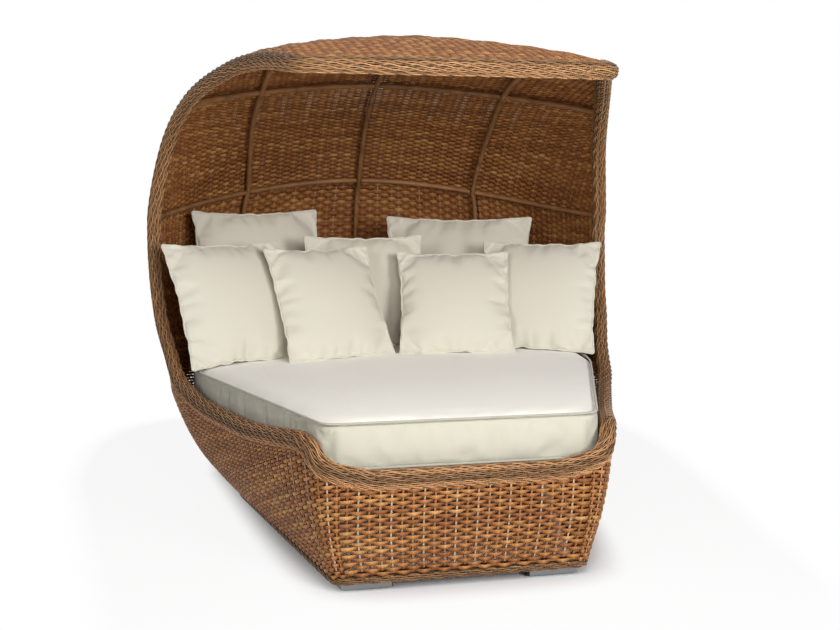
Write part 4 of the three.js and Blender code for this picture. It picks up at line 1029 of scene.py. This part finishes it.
class Roll:
    """A twined roll along a line: rows of paired strands round a packing painted near black, as painted shade
    between the strands.
    """

    def __init__(self, points, normals, depth, thickness, fullness=2.4):
        self.points = points
        self.tangent = unit(np.gradient(points, axis=0))
        self.out = unit(normals - self.tangent * np.sum(normals * self.tangent, axis=1, keepdims=True))
        self.across = np.cross(self.tangent, self.out)
        self.half_depth, self.half_thickness, self.power = depth / 2, thickness / 2, 2 / fullness

    def edge(self, angle, shrink=0.0):
        """The section's edge at an angle, sunk by a depth: its reach across and outward."""
        c, s = np.cos(angle), np.sin(angle)
        across = (self.half_depth - shrink) * np.sign(c) * np.abs(c) ** self.power
        return across, (self.half_thickness - shrink) * np.sign(s) * np.abs(s) ** self.power

    def around(self, angle, shrink):
        x, y = self.edge(angle, shrink)
        normal = self.across * math.cos(angle) * (self.half_thickness - shrink)
        normal += self.out * math.sin(angle) * (self.half_depth - shrink)
        return self.points + self.across * x + self.out * y, unit(normal)

    def angles(self, count):
        """Angles that share the section's edge evenly."""
        fine = np.linspace(0, TURN, SECTION_SAMPLES)
        run = travelled(np.stack(self.edge(fine), axis=1))
        return np.interp((np.arange(count) + 0.5) * run[-1] / count, run, fine)

    def twined(self, sizes, distance, angles, tints, sides=12):
        """The near-black packing (painted shade), and along each row two strands turning round each other,
        out of step with the next.
        """
        mesh = StrandMesh()
        rings = [self.around(angle, sizes.packing)[0] for angle in TURN * (np.arange(sides) + 0.5) / sides]
        mesh.tube(np.stack(rings, axis=1), 0.0, part=1)
        for row, angle in enumerate(angles):
            base, normal = self.around(angle, sizes.twist_rise + sizes.strand / 2)
            side = np.cross(self.tangent, normal)
            for strand in (0, 1):
                turn = TURN * distance / sizes.twist + math.pi * strand + math.pi / 2 * row
                offset = normal * np.cos(turn)[:, None] * sizes.twist_rise
                offset += side * np.sin(turn)[:, None] * sizes.twist_radius
                mesh.add(base + offset, normal, sizes.strand, sizes.strand, tints[row, strand])
        return mesh


def sunk(spot, depth):
    return spot[0] - spot[1] * depth


def rim_loop(shell, rim, step):
    """The whole rim's centre line from the canopy's middle, round the right side and back round the left."""
    line, outward = shell.rim_points, shell.rim_normals
    wanted, points, normals = stepped(step, line, sunk((line, outward), rim.inset), outward)
    points = smoothed(mirrored(points, 0), reach=1, rounds=2, mode="wrap")
    normals = unit(smoothed(mirrored(normals, 0), reach=3, rounds=2, mode="wrap"))
    along = np.concatenate([wanted, 2 * wanted[-1] - wanted[-2:0:-1]])
    return points, normals, along, wanted[-1]


def strand_tints(rng, rows, count):
    """A tint along each of the two strands of each row."""
    return np.array([[colour_walk(rng, count, *RIM_TINTS) for _ in (0, 1)] for _ in range(rows)])


def make_rims(shell, rim, rng):
    points, normals, along, half = rim_loop(shell, rim, rim.twist / TWIST_STEPS)
    count = len(points)
    marks = [shell.rim_corner, shell.rim_split, 2 * half - shell.rim_split, 2 * half - shell.rim_corner]
    corner, split, split_left, corner_left = (int(np.argmin(np.abs(along - mark))) for mark in marks)
    runs = {
        "canopy_front_rim": ("canopy_front_roll", np.arange(corner_left - count, corner + 2)),
        "side_rim_right": ("side_roll_right", np.arange(corner, split + 2)),
        "seat_front_rim": ("seat_front_roll", np.arange(split, split_left + 2)),
        "side_rim_left": ("side_roll_left", np.arange(split_left, corner_left + 2)),
    }
    angles = Roll(points, normals, rim.depth, rim.thickness).angles(rim.rows)
    steps = np.linalg.norm(np.roll(points, -1, axis=0) - points, axis=1)
    distance = np.concatenate([[0], np.cumsum(steps)[:-1]])
    total = steps.sum()
    turns = round(total / rim.twist)
    distance = distance * turns * rim.twist / total
    tints = strand_tints(rng, rim.rows, count)
    for name, (node, run) in runs.items():
        pad = np.concatenate([[run[0] - 1], run, [run[-1] + 1]]) % count
        roll = Roll(points[pad], normals[pad], rim.depth, rim.thickness)
        for key in ("points", "tangent", "out", "across"):
            setattr(roll, key, getattr(roll, key)[1:-1])
        place = distance[run % count] - np.where(run < 0, turns * rim.twist, 0)
        mesh = roll.twined(rim, place, angles, tints[:, :, run % count])
        settle(mesh.finish(name, "rim_strand", "packing"), "rim", node)


def make_trim(shell, rim, rng):
    """Two twined rows, outside and inside, round the bottom edge."""
    low = shell.sizes.bottom - rim.trim_height / 2
    points, normals = shell.wall_spot(HALF_PLACES, np.full(len(HALF_PLACES), low))
    normals[:, 2] = 0
    half = points - unit(normals) * rim.trim_inset
    _, half, out = stepped(rim.twist / TWIST_STEPS, half, half, normals)
    points, normals = mirrored(half), unit(mirrored(out))
    roll = Roll(points, normals, rim.trim_height, rim.trim_thickness, fullness=3.0)
    quarter = math.pi / 2
    angles = [face + turn for face in (quarter, 3 * quarter) for turn in (-TRIM_TURN, TRIM_TURN)]
    mesh = roll.twined(rim, travelled(points), angles, strand_tints(rng, len(angles), len(points)))
    settle(mesh.finish("edge_trim", "rim_strand", "packing"), "rim", "bottom_trim")


def make_rib(name, node, points, rim, rng):
    """A tube wound with a fine strand: a spiral of small ridges."""
    line = smoothed(stepped(rim.rib_wrap / 2, points, points)[1], reach=6, rounds=2)
    line[0], line[-1] = points[0], points[-1]
    _, side, out = frame_along(line, np.tile(RIB_SIDE, (len(line), 1)))
    angle = TURN * np.arange(RIB_SIDES) / RIB_SIDES
    ridge = rim.rib_ridge * np.cos(math.pi * np.arange(len(line))[:, None] + angle[None])
    radius = (rim.rib / 2 - rim.rib_ridge + ridge)[..., None]
    around = side[:, None] * np.cos(angle)[None, :, None] + out[:, None] * np.sin(angle)[None, :, None]
    mesh = StrandMesh()
    mesh.tube(line[:, None] + radius * around, colour_walk(rng, len(line), *RIB_TINTS))
    settle(mesh.finish(name, "rib_wrap"), "rib", node)


def make_ribs(shell, rim, rng):
    depth = shell.sizes.skin + rim.rib_standoff + rim.rib / 2
    hoops = np.linspace(0, shell.last_hoop, RIB_SAMPLES)
    spreads = rim.rib_spread * shell.curves["rib"](hoops)
    shares = np.array([shell.share_at_width(hoop, spread) for hoop, spread in zip(hoops, spreads)])
    angle = shell.rib_angle(rim.rib_spread)
    for node, side in (("long_rib_left", -1), ("long_rib_centre", 0), ("long_rib_right", 1)):
        canopy = sunk(shell.dome_spot(hoops, side * shares), depth)
        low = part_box(node)[0].z
        top = float(shell.hoop_height(angle * abs(side)))
        z = np.linspace(top, low + rim.rib / 4, RIB_SAMPLES)[1:]
        wall = sunk(shell.wall_spot(side * angle / shell.outline(z).turn, z), depth)
        make_rib(f"{node}_wrapped", node, np.concatenate([canopy[2:], wall]), rim, rng)
    for level, hoop in (("lower", shell.last_hoop), ("upper", UPPER_HOOP)):
        crossing = shell.share_at_width(hoop, rim.rib_spread * float(shell.curves["rib"](hoop)))
        ends = [-1, -crossing, 0, crossing, 1]
        gap = rim.rib / 2 / float(np.interp(hoop, *shell.hoop_lengths()[:2]))
        for bay, start, stop in zip(("left", "left_inner", "right_inner", "right"), ends, ends[1:]):
            share = np.linspace(start + gap * (start > -1), stop - gap * (stop < 1), RIB_SAMPLES)
            line = sunk(shell.dome_spot(hoop, share), depth)
            make_rib(f"{level}_hoop_{bay}_wrapped", f"{level}_hoop_{bay}", line, rim, rng)


def applied(piece):
    """The piece's mesh with its modifiers applied, as its new mesh."""
    graph = bpy.context.evaluated_depsgraph_get()
    mesh = bpy.data.meshes.new_from_object(piece.evaluated_get(graph))
    piece.modifiers.clear()
    piece.data = mesh
    return mesh


def simulate(piece, frames, pressure, growth, stiffness, pins):
    """Blows cloth up from inside, its seams pinned, then applies it."""
    cloth = piece.modifiers.new("cloth", "CLOTH")
    values = {
        "quality": 6, "mass": 0.3, "tension_stiffness": stiffness, "compression_stiffness": stiffness,
        "shear_stiffness": stiffness / 3, "bending_stiffness": 0.15, "use_pressure": True,
        "uniform_pressure_force": pressure, "shrink_min": -growth, "vertex_group_mass": pins,
        "pin_stiffness": 1.0,
    }
    for key, value in values.items():
        setattr(cloth.settings, key, value)
    cloth.settings.effector_weights.gravity = 0
    cloth.collision_settings.use_collision = False
    cloth.point_cache.frame_start, cloth.point_cache.frame_end = 1, frames
    scene = bpy.context.scene
    for frame_number in range(1, frames + 1):
        scene.frame_set(frame_number)
    applied(piece)
    scene.frame_set(1)


def capped(start, moved, reach):
    """Moved points, none of them further from its start than a reach."""
    change = moved - start
    size = np.linalg.norm(change, axis=1, keepdims=True)
    return start + change * reach * np.tanh(size / reach) / np.maximum(size, 1e-9)


def coordinates(mesh):
    values = np.empty(len(mesh.vertices) * 3, np.float32)
    mesh.vertices.foreach_get("co", values)
    return values.reshape(-1, 3).astype(float)


def set_coordinates(mesh, values):
    mesh.vertices.foreach_set("co", values.astype(np.float32).ravel())
    mesh.update()


# A pillow's cover: cells across a sheet, half the gap between its sheets, how sharply the seam's small waves
# begin and their lengths, how flat the filled middle is, how much its corners lose, and steps of its piping
PILLOW_CELLS = 44
SHEET_GAP = 0.003
SEAM_SHARPNESS = 8
PUCKER_LENGTHS = (0.31, 0.19, 0.12, 0.083, 0.061)
PUFF_POWER = 0.62
PUFF_FALL = 0.35
CORD_STEP = 0.007

# Each pillow: its turn and its lean in degrees, its seed and how full it is
PILLOWS = {
    "pillow_left": (26, 28, 3, 0.7),
    "pillow_front_left": (19, 30, 5, 0.7),
    "pillow_front_right": (-8, 31, 8, 0.65),
    "pillow_right": (-26, 28, 13, 0.6),
    "pillow_middle": (0, 18, 21, 0.6),
    "pillow_back_left": (21, 12, 34, 0.65),
    "pillow_back_right": (-23, 14, 55, 0.6),
}


def pillow_frame(node, turn, lean):
    """The pillow's own axes and its middle, from its solid."""
    axes = Matrix.Rotation(math.radians(turn), 3, "Z") @ Matrix.Rotation(-math.radians(lean), 3, "X")
    local = coordinates(frame["nodes"][node].data) @ np.array(axes)
    low, high = local.min(0), local.max(0)
    return axes, Vector(axes @ Vector((low + high) / 2)), high - low


def pillow_blank(name, width, height, cells):
    """Two square sheets joined at the seam, as sewn before filling."""
    bm = bmesh.new()
    for side in (-1, 1):
        made = bmesh.ops.create_grid(bm, x_segments=cells, y_segments=cells, size=0.5)
        turn = Matrix.Rotation(math.pi / 2, 3, "X")
        bmesh.ops.rotate(bm, verts=made["verts"], matrix=turn)
        bmesh.ops.translate(bm, verts=made["verts"], vec=(0, SHEET_GAP * side, 0))
        if side > 0:
            bmesh.ops.reverse_faces(bm, faces=list({f for v in made["verts"] for f in v.link_faces}))
    rims = [edge for edge in bm.edges if edge.is_boundary]
    bmesh.ops.bridge_loops(bm, edges=rims)
    bmesh.ops.scale(bm, vec=(width, 1, height), verts=bm.verts)
    bmesh.ops.recalc_face_normals(bm, faces=bm.faces)
    return poured(name, bm)


def seam_loop(cells):
    """The front sheet's edge vertices in order round the square."""
    side = cells + 1
    bottom = list(range(0, side))
    right = [side * row + side - 1 for row in range(1, side)]
    top = [side * (side - 1) + column for column in range(side - 2, -1, -1)]
    left = [side * row for row in range(side - 2, 0, -1)]
    return bottom + right + top + left


def cord_round(name, line, normals, diameter, finish):
    """A closed cord along a seam."""
    _, centre, outward = stepped(CORD_STEP, closed(line), closed(line), closed(normals))
    centre, outward = smoothed(centre[:-1], reach=1, rounds=2, mode="wrap"), unit(outward)
    overlap = np.concatenate([centre, centre[:2]]), np.concatenate([outward, outward[1:2]])
    mesh = StrandMesh()
    mesh.add(*overlap, diameter, diameter, tint=0.5, sides=6)
    return mesh.finish(name, finish)


def puckers(rng, place, reach, height):
    """Uneven small waves along a seam, fading at its ends."""
    waves = sum(
        rng.uniform(0.4, 1) * np.sin(TURN * (place * reach / period + rng.random()))
        for period in PUCKER_LENGTHS
    )
    return height * waves / 2 * np.clip(3 * (1 - np.abs(place)), 0, 1)


def shape_pillow(points, extent, sizes, rng):
    """Crowns the two sheets and draws their sides in between the corners, the seams gently puckered."""
    width, thickness, height = extent
    side = np.sign(points[:, 1])
    u, v = 2 * points[:, 0] / width, 2 * points[:, 2] / height
    u, v = (u + np.sin(u * math.pi / 2)) / 2, (v + np.sin(v * math.pi / 2)) / 2
    draw_x = 1 - sizes.draw * (1 - v * v) * np.abs(u)
    draw_z = 1 - sizes.draw * (1 - u * u) * np.abs(v)
    for at, across, span, draw in ((u, v, height, draw_x), (v, u, width, draw_z)):
        for edge in (-1, 1):
            near = np.clip(at * edge, 0, 1) ** SEAM_SHARPNESS
            draw -= near * np.abs(puckers(rng, across, span / 2, sizes.pucker)) / (span / 2)
            points[:, 1] += near * puckers(rng, across, span / 2, sizes.pucker)
    puff = np.maximum(0, (1 - u * u) * (1 - v * v)) ** PUFF_POWER
    puff = puff * (1 - PUFF_FALL * (u * u + v * v) / 2)
    points[:, 0], points[:, 2] = width / 2 * u * draw_x, height / 2 * v * draw_z
    points[:, 1] += side * (sizes.piping / 2 - SHEET_GAP + (thickness - sizes.piping) / 2 * puff)
    return points


def make_pillow(node, turn, lean, seed, sizes):
    axes, middle, extent = pillow_frame(node, turn, lean)
    piece = pillow_blank(f"{node}_cover", extent[0], extent[2], PILLOW_CELLS)
    seam = np.array(seam_loop(PILLOW_CELLS))
    other = seam + (PILLOW_CELLS + 1) ** 2
    start = shape_pillow(coordinates(piece.data), extent, sizes, np.random.default_rng(seed))
    set_coordinates(piece.data, start)
    piece.vertex_groups.new(name="seam").add([*seam.tolist(), *other.tolist()], 1.0, "REPLACE")
    simulate(piece, frames=16, pressure=2.6, growth=sizes.slack, stiffness=12.0, pins="seam")
    points = capped(start, coordinates(piece.data), sizes.most_move)
    low, high = points.min(0), points.max(0)
    points = (points - (low + high) / 2) * (extent / (high - low))
    line = (points[seam] + points[other]) / 2
    set_coordinates(piece.data, points)
    subdivision = piece.modifiers.new("smooth", "SUBSURF")
    subdivision.levels = subdivision.render_levels = 1
    applied(piece)
    piece.data.shade_smooth()
    piece.data.transform(Matrix.Translation(middle) @ axes.to_4x4())
    floor = sizes.bottom + sizes.thickness + sizes.rest
    values = coordinates(piece.data)
    values[:, 2] = np.maximum(values[:, 2], floor)
    set_coordinates(piece.data, values)
    line = line @ np.array(axes).T + np.array(middle)
    line[:, 2] = np.maximum(line[:, 2], floor + sizes.piping / 2)
    settle(dressed(piece, "canvas"), "pillows", node)
    outward = unit(line - line.mean(0))
    line += outward * sizes.piping / 3
    settle(cord_round(f"{node}_piping", line, outward, sizes.piping, "piping"), "pillows")


# The mattress: steps of its outline; how near to a seam a vertex is held there, in cells; how far filling may
# move its side, and its top past the crown; how wide the crown rises and what share of it; how wide the top's
# edge is evened, in cells, and how often; and how far its pipings stand out and lie over their seams
OUTLINE_STEP = 0.02
SEAM_REACH = 0.9
SIDE_MOVE = 0.009
TOP_MOVE = 0.004
CROWN_WIDTH = 0.5
CROWN_SHARE = 0.6
EVENED_CELLS = 6
EVENED_ROUNDS = 6
PIPING_OUT = 0.004
PIPING_RISES = {"top": 0.0015, "bottom": 0.004}


def mattress_outline(sizes, shell):
    side = (sizes.half_width + sizes.splay * sizes.depth) / math.hypot(1, sizes.splay)
    values = (sizes.half_width, sizes.splay, sizes.depth, side, sizes.back, sizes.front, sizes.corner)
    plan = Outline(*(np.full(len(HALF_PLACES), value) for value in values)).at(HALF_PLACES)
    plan[:, 1] += shell.shift
    loop = closed(mirrored(plan, 0))
    return stepped(OUTLINE_STEP, loop, loop)[1][:-1]


def evened(mesh, points, chosen, rounds):
    """Points with the chosen ones drawn towards the mean of their neighbours."""
    ends = np.empty(len(mesh.edges) * 2, np.int32)
    mesh.edges.foreach_get("vertices", ends)
    a, b = ends.reshape(-1, 2).T
    number = np.bincount(ends, minlength=len(points))[:, None]
    for _ in range(rounds):
        total = np.zeros_like(points)
        np.add.at(total, a, points[b])
        np.add.at(total, b, points[a])
        points = np.where(chosen[:, None], (points + total / number) / 2, points)
    return points


def side_creases(rng, count):
    """Depth of upright creases round the mattress's side: soft folds of uneven width and spacing."""
    place, depth = np.arange(count), np.zeros(count)
    for middle in np.cumsum(rng.uniform(1.8, 9, count)):
        if middle > count - 4:
            break
        depth += rng.uniform(-0.4, 1) * np.exp(-((place - middle) / rng.uniform(0.7, 2.2)) ** 2)
    return depth


def mattress_block(loop, sizes):
    """A block of even cells: the outline pulled up into a side."""
    bm = bmesh.new()
    base = bm.faces.new([bm.verts.new((x, y, sizes.bottom)) for x, y in loop[::-1]])
    raised = bmesh.ops.extrude_face_region(bm, geom=[base])
    top = [v for v in raised["geom"] if isinstance(v, bmesh.types.BMVert)]
    bmesh.ops.translate(bm, verts=top, vec=(0, 0, sizes.thickness))
    bmesh.ops.recalc_face_normals(bm, faces=bm.faces)
    piece = poured("mattress_cover", bm)
    remesh = piece.modifiers.new("cells", "REMESH")
    remesh.mode = "VOXEL"
    remesh.voxel_size = sizes.cell
    applied(piece)
    return piece


def nearest_on(loop, points):
    """The loop's vertex that is nearest to each point, seen from above, and how far it is."""
    tree = KDTree(len(loop))
    for i, (x, y) in enumerate(loop):
        tree.insert((x, y, 0), i)
    tree.balance()
    found = [tree.find((x, y, 0)) for x, y, _ in points]
    return (np.array([spot[part] for spot in found]) for part in (1, 2))


def make_mattress(shell, sizes):
    """A boxed cushion: its seams are held while the cover is filled, then its side is creased."""
    loop = mattress_outline(sizes, shell)
    piece = mattress_block(loop, sizes)
    start = coordinates(piece.data)
    nearest, edge = nearest_on(loop, start)
    z, low, high = start[:, 2], sizes.bottom, sizes.bottom + sizes.thickness
    seams = np.maximum(edge, np.minimum(np.abs(z - low), np.abs(z - high))) < sizes.cell * SEAM_REACH
    under, top_face = z < low + sizes.cell / 2, z > high - sizes.cell / 2
    piece.vertex_groups.new(name="seams").add(np.flatnonzero(seams | under).tolist(), 1.0, "REPLACE")
    simulate(piece, frames=14, pressure=1.6, growth=0.035, stiffness=15.0, pins="seams")
    most = np.where(top_face, sizes.crown + TOP_MOVE, SIDE_MOVE)[:, None]
    moved = capped(start, coordinates(piece.data), most)
    share = np.clip(edge / CROWN_WIDTH, 0, 1)
    moved[:, 2] += np.where(top_face, sizes.crown * CROWN_SHARE * (1 - (1 - share) ** 2), 0)
    outward = unit(loop - np.roll(loop, 1, axis=0)) @ np.array([[0, -1], [1, 0]])
    upright = np.sin(math.pi * np.clip((z - low) / (high - low), 0, 1)) ** 0.5
    beside = (edge < sizes.cell) & ~top_face & (z > low + sizes.cell / 2)
    fold = side_creases(np.random.default_rng(CREASE_SEED), len(loop))[nearest] * sizes.crease
    moved[:, :2] -= outward[nearest] * (fold * upright * beside)[:, None]
    top_edge = top_face & (edge < EVENED_CELLS * sizes.cell)
    set_coordinates(piece.data, evened(piece.data, moved, top_edge, EVENED_ROUNDS))
    piece.data.shade_smooth()
    dressed(piece, "top_canvas", "band_canvas")
    # The top takes the canvas with painted light, the side and the underside the canvas with painted shade
    for face in piece.data.polygons:
        face.material_index = 0 if face.center.z > high - sizes.cell / 3 else 1
    settle(piece, "mattress", "mattress")
    outward = unit(np.column_stack([loop - loop.mean(0), np.zeros(len(loop))]))
    # Painted shade: the pipings are darker than the band, standing in for the shadow line along the seams
    for level, height in (("top", high), ("bottom", low)):
        line = np.column_stack([loop, np.full(len(loop), height + PIPING_RISES[level])])
        line += outward * PIPING_OUT
        cord = cord_round(f"mattress_piping_{level}", line, outward, sizes.piping, "band_piping")
        settle(cord, "mattress")


# Pieces of the feet by the start of their names: ending of the piece's name, rounding, finish and slot
FEET = {
    "foot_": ("bar", 0.0012, "brushed_metal", "feet"),
    "end_cap_": ("moulded", 0.0008, "cap_plastic", "caps"),
    "glide_": ("moulded", 0.0008, "glide_plastic", "glides"),
}


def bevelled_copy(node, name, width):
    """A piece with a node's own shape, its doubles merged and its long edges rounded."""
    bm = bmesh.new()
    bm.from_mesh(frame["nodes"][node].data)
    bmesh.ops.remove_doubles(bm, verts=bm.verts, dist=1e-5)
    bmesh.ops.dissolve_limit(bm, angle_limit=math.radians(2), verts=bm.verts, edges=bm.edges)
    sharp = [edge for edge in bm.edges if edge.is_manifold and edge.calc_face_angle() > math.radians(30)]
    bmesh.ops.bevel(bm, geom=sharp, offset=width, offset_type="OFFSET", segments=2, profile=0.5,
                    affect="EDGES", material=-1, clamp_overlap=True)
    return poured(name, bm)


def build_shell():
    return Shell(bpy.context.scene.daybed_shell)


class DAYBED_OT_weave(bpy.types.Operator):
    """Weaves the canopy and the walls in flat strips over stakes"""

    bl_idname = "daybed.weave"
    bl_label = "Weave the shell"

    def execute(self, context):
        shell, sizes = build_shell(), context.scene.daybed_weave
        writer = WeaveWriter(sizes, shell.sizes.skin, np.random.default_rng(WEAVE_SEED))
        rows = weave_canopy(shell, writer, sizes)
        weave_walls(shell, writer, sizes, rows)
        skins = {name: f"{name}_skin" for name in CANOPY_PANELS}
        writer.finish({**skins, **{name: name for name in WALL_PANELS}})
        return {"FINISHED"}


class DAYBED_OT_rims(bpy.types.Operator):
    """Rolls the twined rim round the mouth and trims the bottom edge"""

    bl_idname = "daybed.rims"
    bl_label = "Twine the rims"

    def execute(self, context):
        shell, rng = build_shell(), np.random.default_rng(RIM_SEED)
        make_rims(shell, context.scene.daybed_rim, rng)
        make_trim(shell, context.scene.daybed_rim, rng)
        return {"FINISHED"}


class DAYBED_OT_ribs(bpy.types.Operator):
    """Wraps the long ribs and the hoops"""

    bl_idname = "daybed.ribs"
    bl_label = "Wrap the ribs"

    def execute(self, context):
        make_ribs(build_shell(), context.scene.daybed_rim, np.random.default_rng(RIB_SEED))
        return {"FINISHED"}


class DAYBED_OT_frame(bpy.types.Operator):
    """Gives the tube frame and the deck their finishes"""

    bl_idname = "daybed.frame"
    bl_label = "Finish the frame"

    def execute(self, context):
        for name, node in frame["nodes"].items():
            if not node.hide_render:
                dressed(node, "deck_board" if name == "seat_deck" else "powder_coat")
        return {"FINISHED"}


class DAYBED_OT_feet(bpy.types.Operator):
    """Makes the metal feet, their end caps and glides"""

    bl_idname = "daybed.feet"
    bl_label = "Make the feet"

    def execute(self, context):
        for node in sorted(frame["nodes"]):
            for start, (ending, edge, finish, slot) in FEET.items():
                if node.startswith(start):
                    settle(dressed(bevelled_copy(node, f"{node}_{ending}", edge), finish), slot, node)
        return {"FINISHED"}


class DAYBED_OT_mattress(bpy.types.Operator):
    """Makes the boxed mattress"""

    bl_idname = "daybed.mattress"
    bl_label = "Make the mattress"

    def execute(self, context):
        make_mattress(build_shell(), context.scene.daybed_cushions)
        return {"FINISHED"}


class DAYBED_OT_pillows(bpy.types.Operator):
    """Makes the seven loose pillows"""

    bl_idname = "daybed.pillows"
    bl_label = "Make the pillows"

    def execute(self, context):
        for node, (turn, lean, seed, fill) in PILLOWS.items():
            make_pillow(node, turn, lean, seed, context.scene.daybed_cushions)
        return {"FINISHED"}


class DAYBED_OT_stage(bpy.types.Operator):
    """Sets the floor, the lights and the camera"""

    bl_idname = "daybed.stage"
    bl_label = "Set the stage"

    def execute(self, context):
        make_floor()
        make_lights()
        make_world()
        make_camera()
        return {"FINISHED"}


CAMERA_PLACE = (-0.769, -4.0994, 1.2)
CAMERA_TURN = math.radians(11.89)
CAMERA_DROP = math.radians(6.72)
CAMERA_LENS = 45.0
SENSOR = 36.0

# Each light: its place, what it points at, its size and its power
LIGHTS = {
    "key": ((2.0, -4.9, 1.75), (0, -0.3, 0.7), 1.7, 142),
    "seat": ((-0.1, -2.5, 1.5), (0, -0.1, 0.5), 0.9, 18),
    "fill": ((-3.4, -3.6, 2.4), (0, 0, 0.6), 2.0, 62),
}
WORLD_LIGHT = 0.17
WHITE = (1, 1, 1)

# The floor keeps its own shade in a rounded square under the daybed, which moves aside and grows to the back,
# and fades to white round it, first quickly and then slowly
FLOOR_SIZE = 30
FLOOR_SHADE = (0.93, 0.93, 0.93)
FLOOR_DEPTHS = {"From_Min": -1.05, "From_Max": 0.35}
FLOOR_MIDDLE = (-0.65, 0.95)
FLOOR_ASIDE = 0.03
FLOOR_HALF_WIDTH = (0.46, 0.22)
SQUARENESS = 4.0
GLOW = {"From_Min": -0.02, "From_Max": 0.12, "To_Max": 0.9}
FADE = {"From_Min": 0.0, "From_Max": 0.75}


def make_camera():
    data = bpy.data.cameras.new("view")
    data.lens, data.sensor_width = CAMERA_LENS, SENSOR
    camera = linked("view", data)
    camera.location = CAMERA_PLACE
    camera.rotation_euler = (math.pi / 2 - CAMERA_DROP, 0, -CAMERA_TURN)
    bpy.context.scene.camera = camera


def make_floor():
    """A pale floor: shadowed under the daybed, and fading into the white background away from it."""
    bm = bmesh.new()
    bmesh.ops.create_grid(bm, x_segments=1, y_segments=1, size=FLOOR_SIZE)
    floor = poured("floor", bm)
    finish = Finish("pale_floor", roughness=0.9, specular=0.0)
    finish.set("Base Color", FLOOR_SHADE)
    spot = finish.node("ShaderNodeTexCoord").out("Object")
    parts = finish.node("ShaderNodeSeparateXYZ", Vector=spot)
    ahead = finish.node("ShaderNodeMapRange", Value=parts.out("Y"), **FLOOR_DEPTHS)
    middle = ahead * FLOOR_MIDDLE[1] + FLOOR_MIDDLE[0]
    gaps = parts.out("X") - FLOOR_ASIDE, parts.out("Y") - middle
    across, along = (gap.maths("ABSOLUTE").maths("POWER", SQUARENESS) for gap in gaps)
    half = ahead * FLOOR_HALF_WIDTH[1] + FLOOR_HALF_WIDTH[0]
    past = (across + along).maths("POWER", 1 / SQUARENESS) - half
    smooth = {"interpolation_type": "SMOOTHSTEP"}
    glow, fade = (finish.node("ShaderNodeMapRange", smooth, Value=past, **ends) for ends in (GLOW, FADE))
    white = finish.node("ShaderNodeEmission", Color=WHITE, Strength=1.0)
    finish.surface(finish.seen() * glow.maths("MAXIMUM", fade), finish.shader, white, "Material Output")
    floor.data.materials.append(finish.material)


def make_lights():
    for name, (place, target, size, power) in LIGHTS.items():
        data = bpy.data.lights.new(name, "AREA")
        data.shape, data.size, data.energy = "DISK", size, power
        light = linked(name, data)
        light.location = place
        light.rotation_euler = (Vector(target) - Vector(place)).to_track_quat("-Z", "Y").to_euler()
        light.visible_camera = False


def make_world():
    """Dim light from all round, before a background that is seen as white."""
    world = bpy.data.worlds.new("studio")
    bpy.context.scene.world = world
    tree = NodeTree(world)
    lit = tree.nodes["Background"]
    tree.feed(lit.inputs["Color"], WHITE)
    tree.feed(lit.inputs["Strength"], WORLD_LIGHT)
    white = tree.node("ShaderNodeBackground", Color=WHITE, Strength=1.0)
    tree.surface(tree.seen(), lit, white, "World Output")


class DAYBED_PT_panel(bpy.types.Panel):
    """Lists the daybed's pieces in the sidebar"""

    bl_idname = "DAYBED_PT_panel"
    bl_label = "Daybed"
    bl_space_type = "VIEW_3D"
    bl_region_type = "UI"
    bl_category = "Daybed"

    def draw(self, context):
        for operator in OPERATORS:
            self.layout.operator(operator.bl_idname)
        for group in GROUPS:
            box = self.layout.box()
            for key in GROUPS[group].__annotations__:
                box.prop(getattr(context.scene, group), key)


GROUPS = {
    "daybed_shell": ShellSizes,
    "daybed_weave": WeaveSizes,
    "daybed_rim": RimSizes,
    "daybed_cushions": CushionSizes,
    "daybed_colours": Colours,
}
OPERATORS = [
    DAYBED_OT_stage, DAYBED_OT_weave, DAYBED_OT_rims, DAYBED_OT_ribs, DAYBED_OT_feet, DAYBED_OT_mattress,
    DAYBED_OT_pillows, DAYBED_OT_frame,
]


def register():
    for group in GROUPS.values():
        bpy.utils.register_class(group)
    for key, group in GROUPS.items():
        setattr(bpy.types.Scene, key, PointerProperty(type=group))
    for operator in OPERATORS:
        bpy.utils.register_class(operator)
    bpy.utils.register_class(DAYBED_PT_panel)


def unregister():
    bpy.utils.unregister_class(DAYBED_PT_panel)
    for operator in reversed(OPERATORS):
        bpy.utils.unregister_class(operator)
    for key in GROUPS:
        delattr(bpy.types.Scene, key)
    for group in reversed(GROUPS.values()):
        bpy.utils.unregister_class(group)


def main():
    register()
    bpy.context.scene.view_settings.view_transform = "Standard"
    for operator in OPERATORS:
        getattr(bpy.ops.daybed, operator.bl_idname.split(".")[1])()


if __name__ == "__main__":
    main()
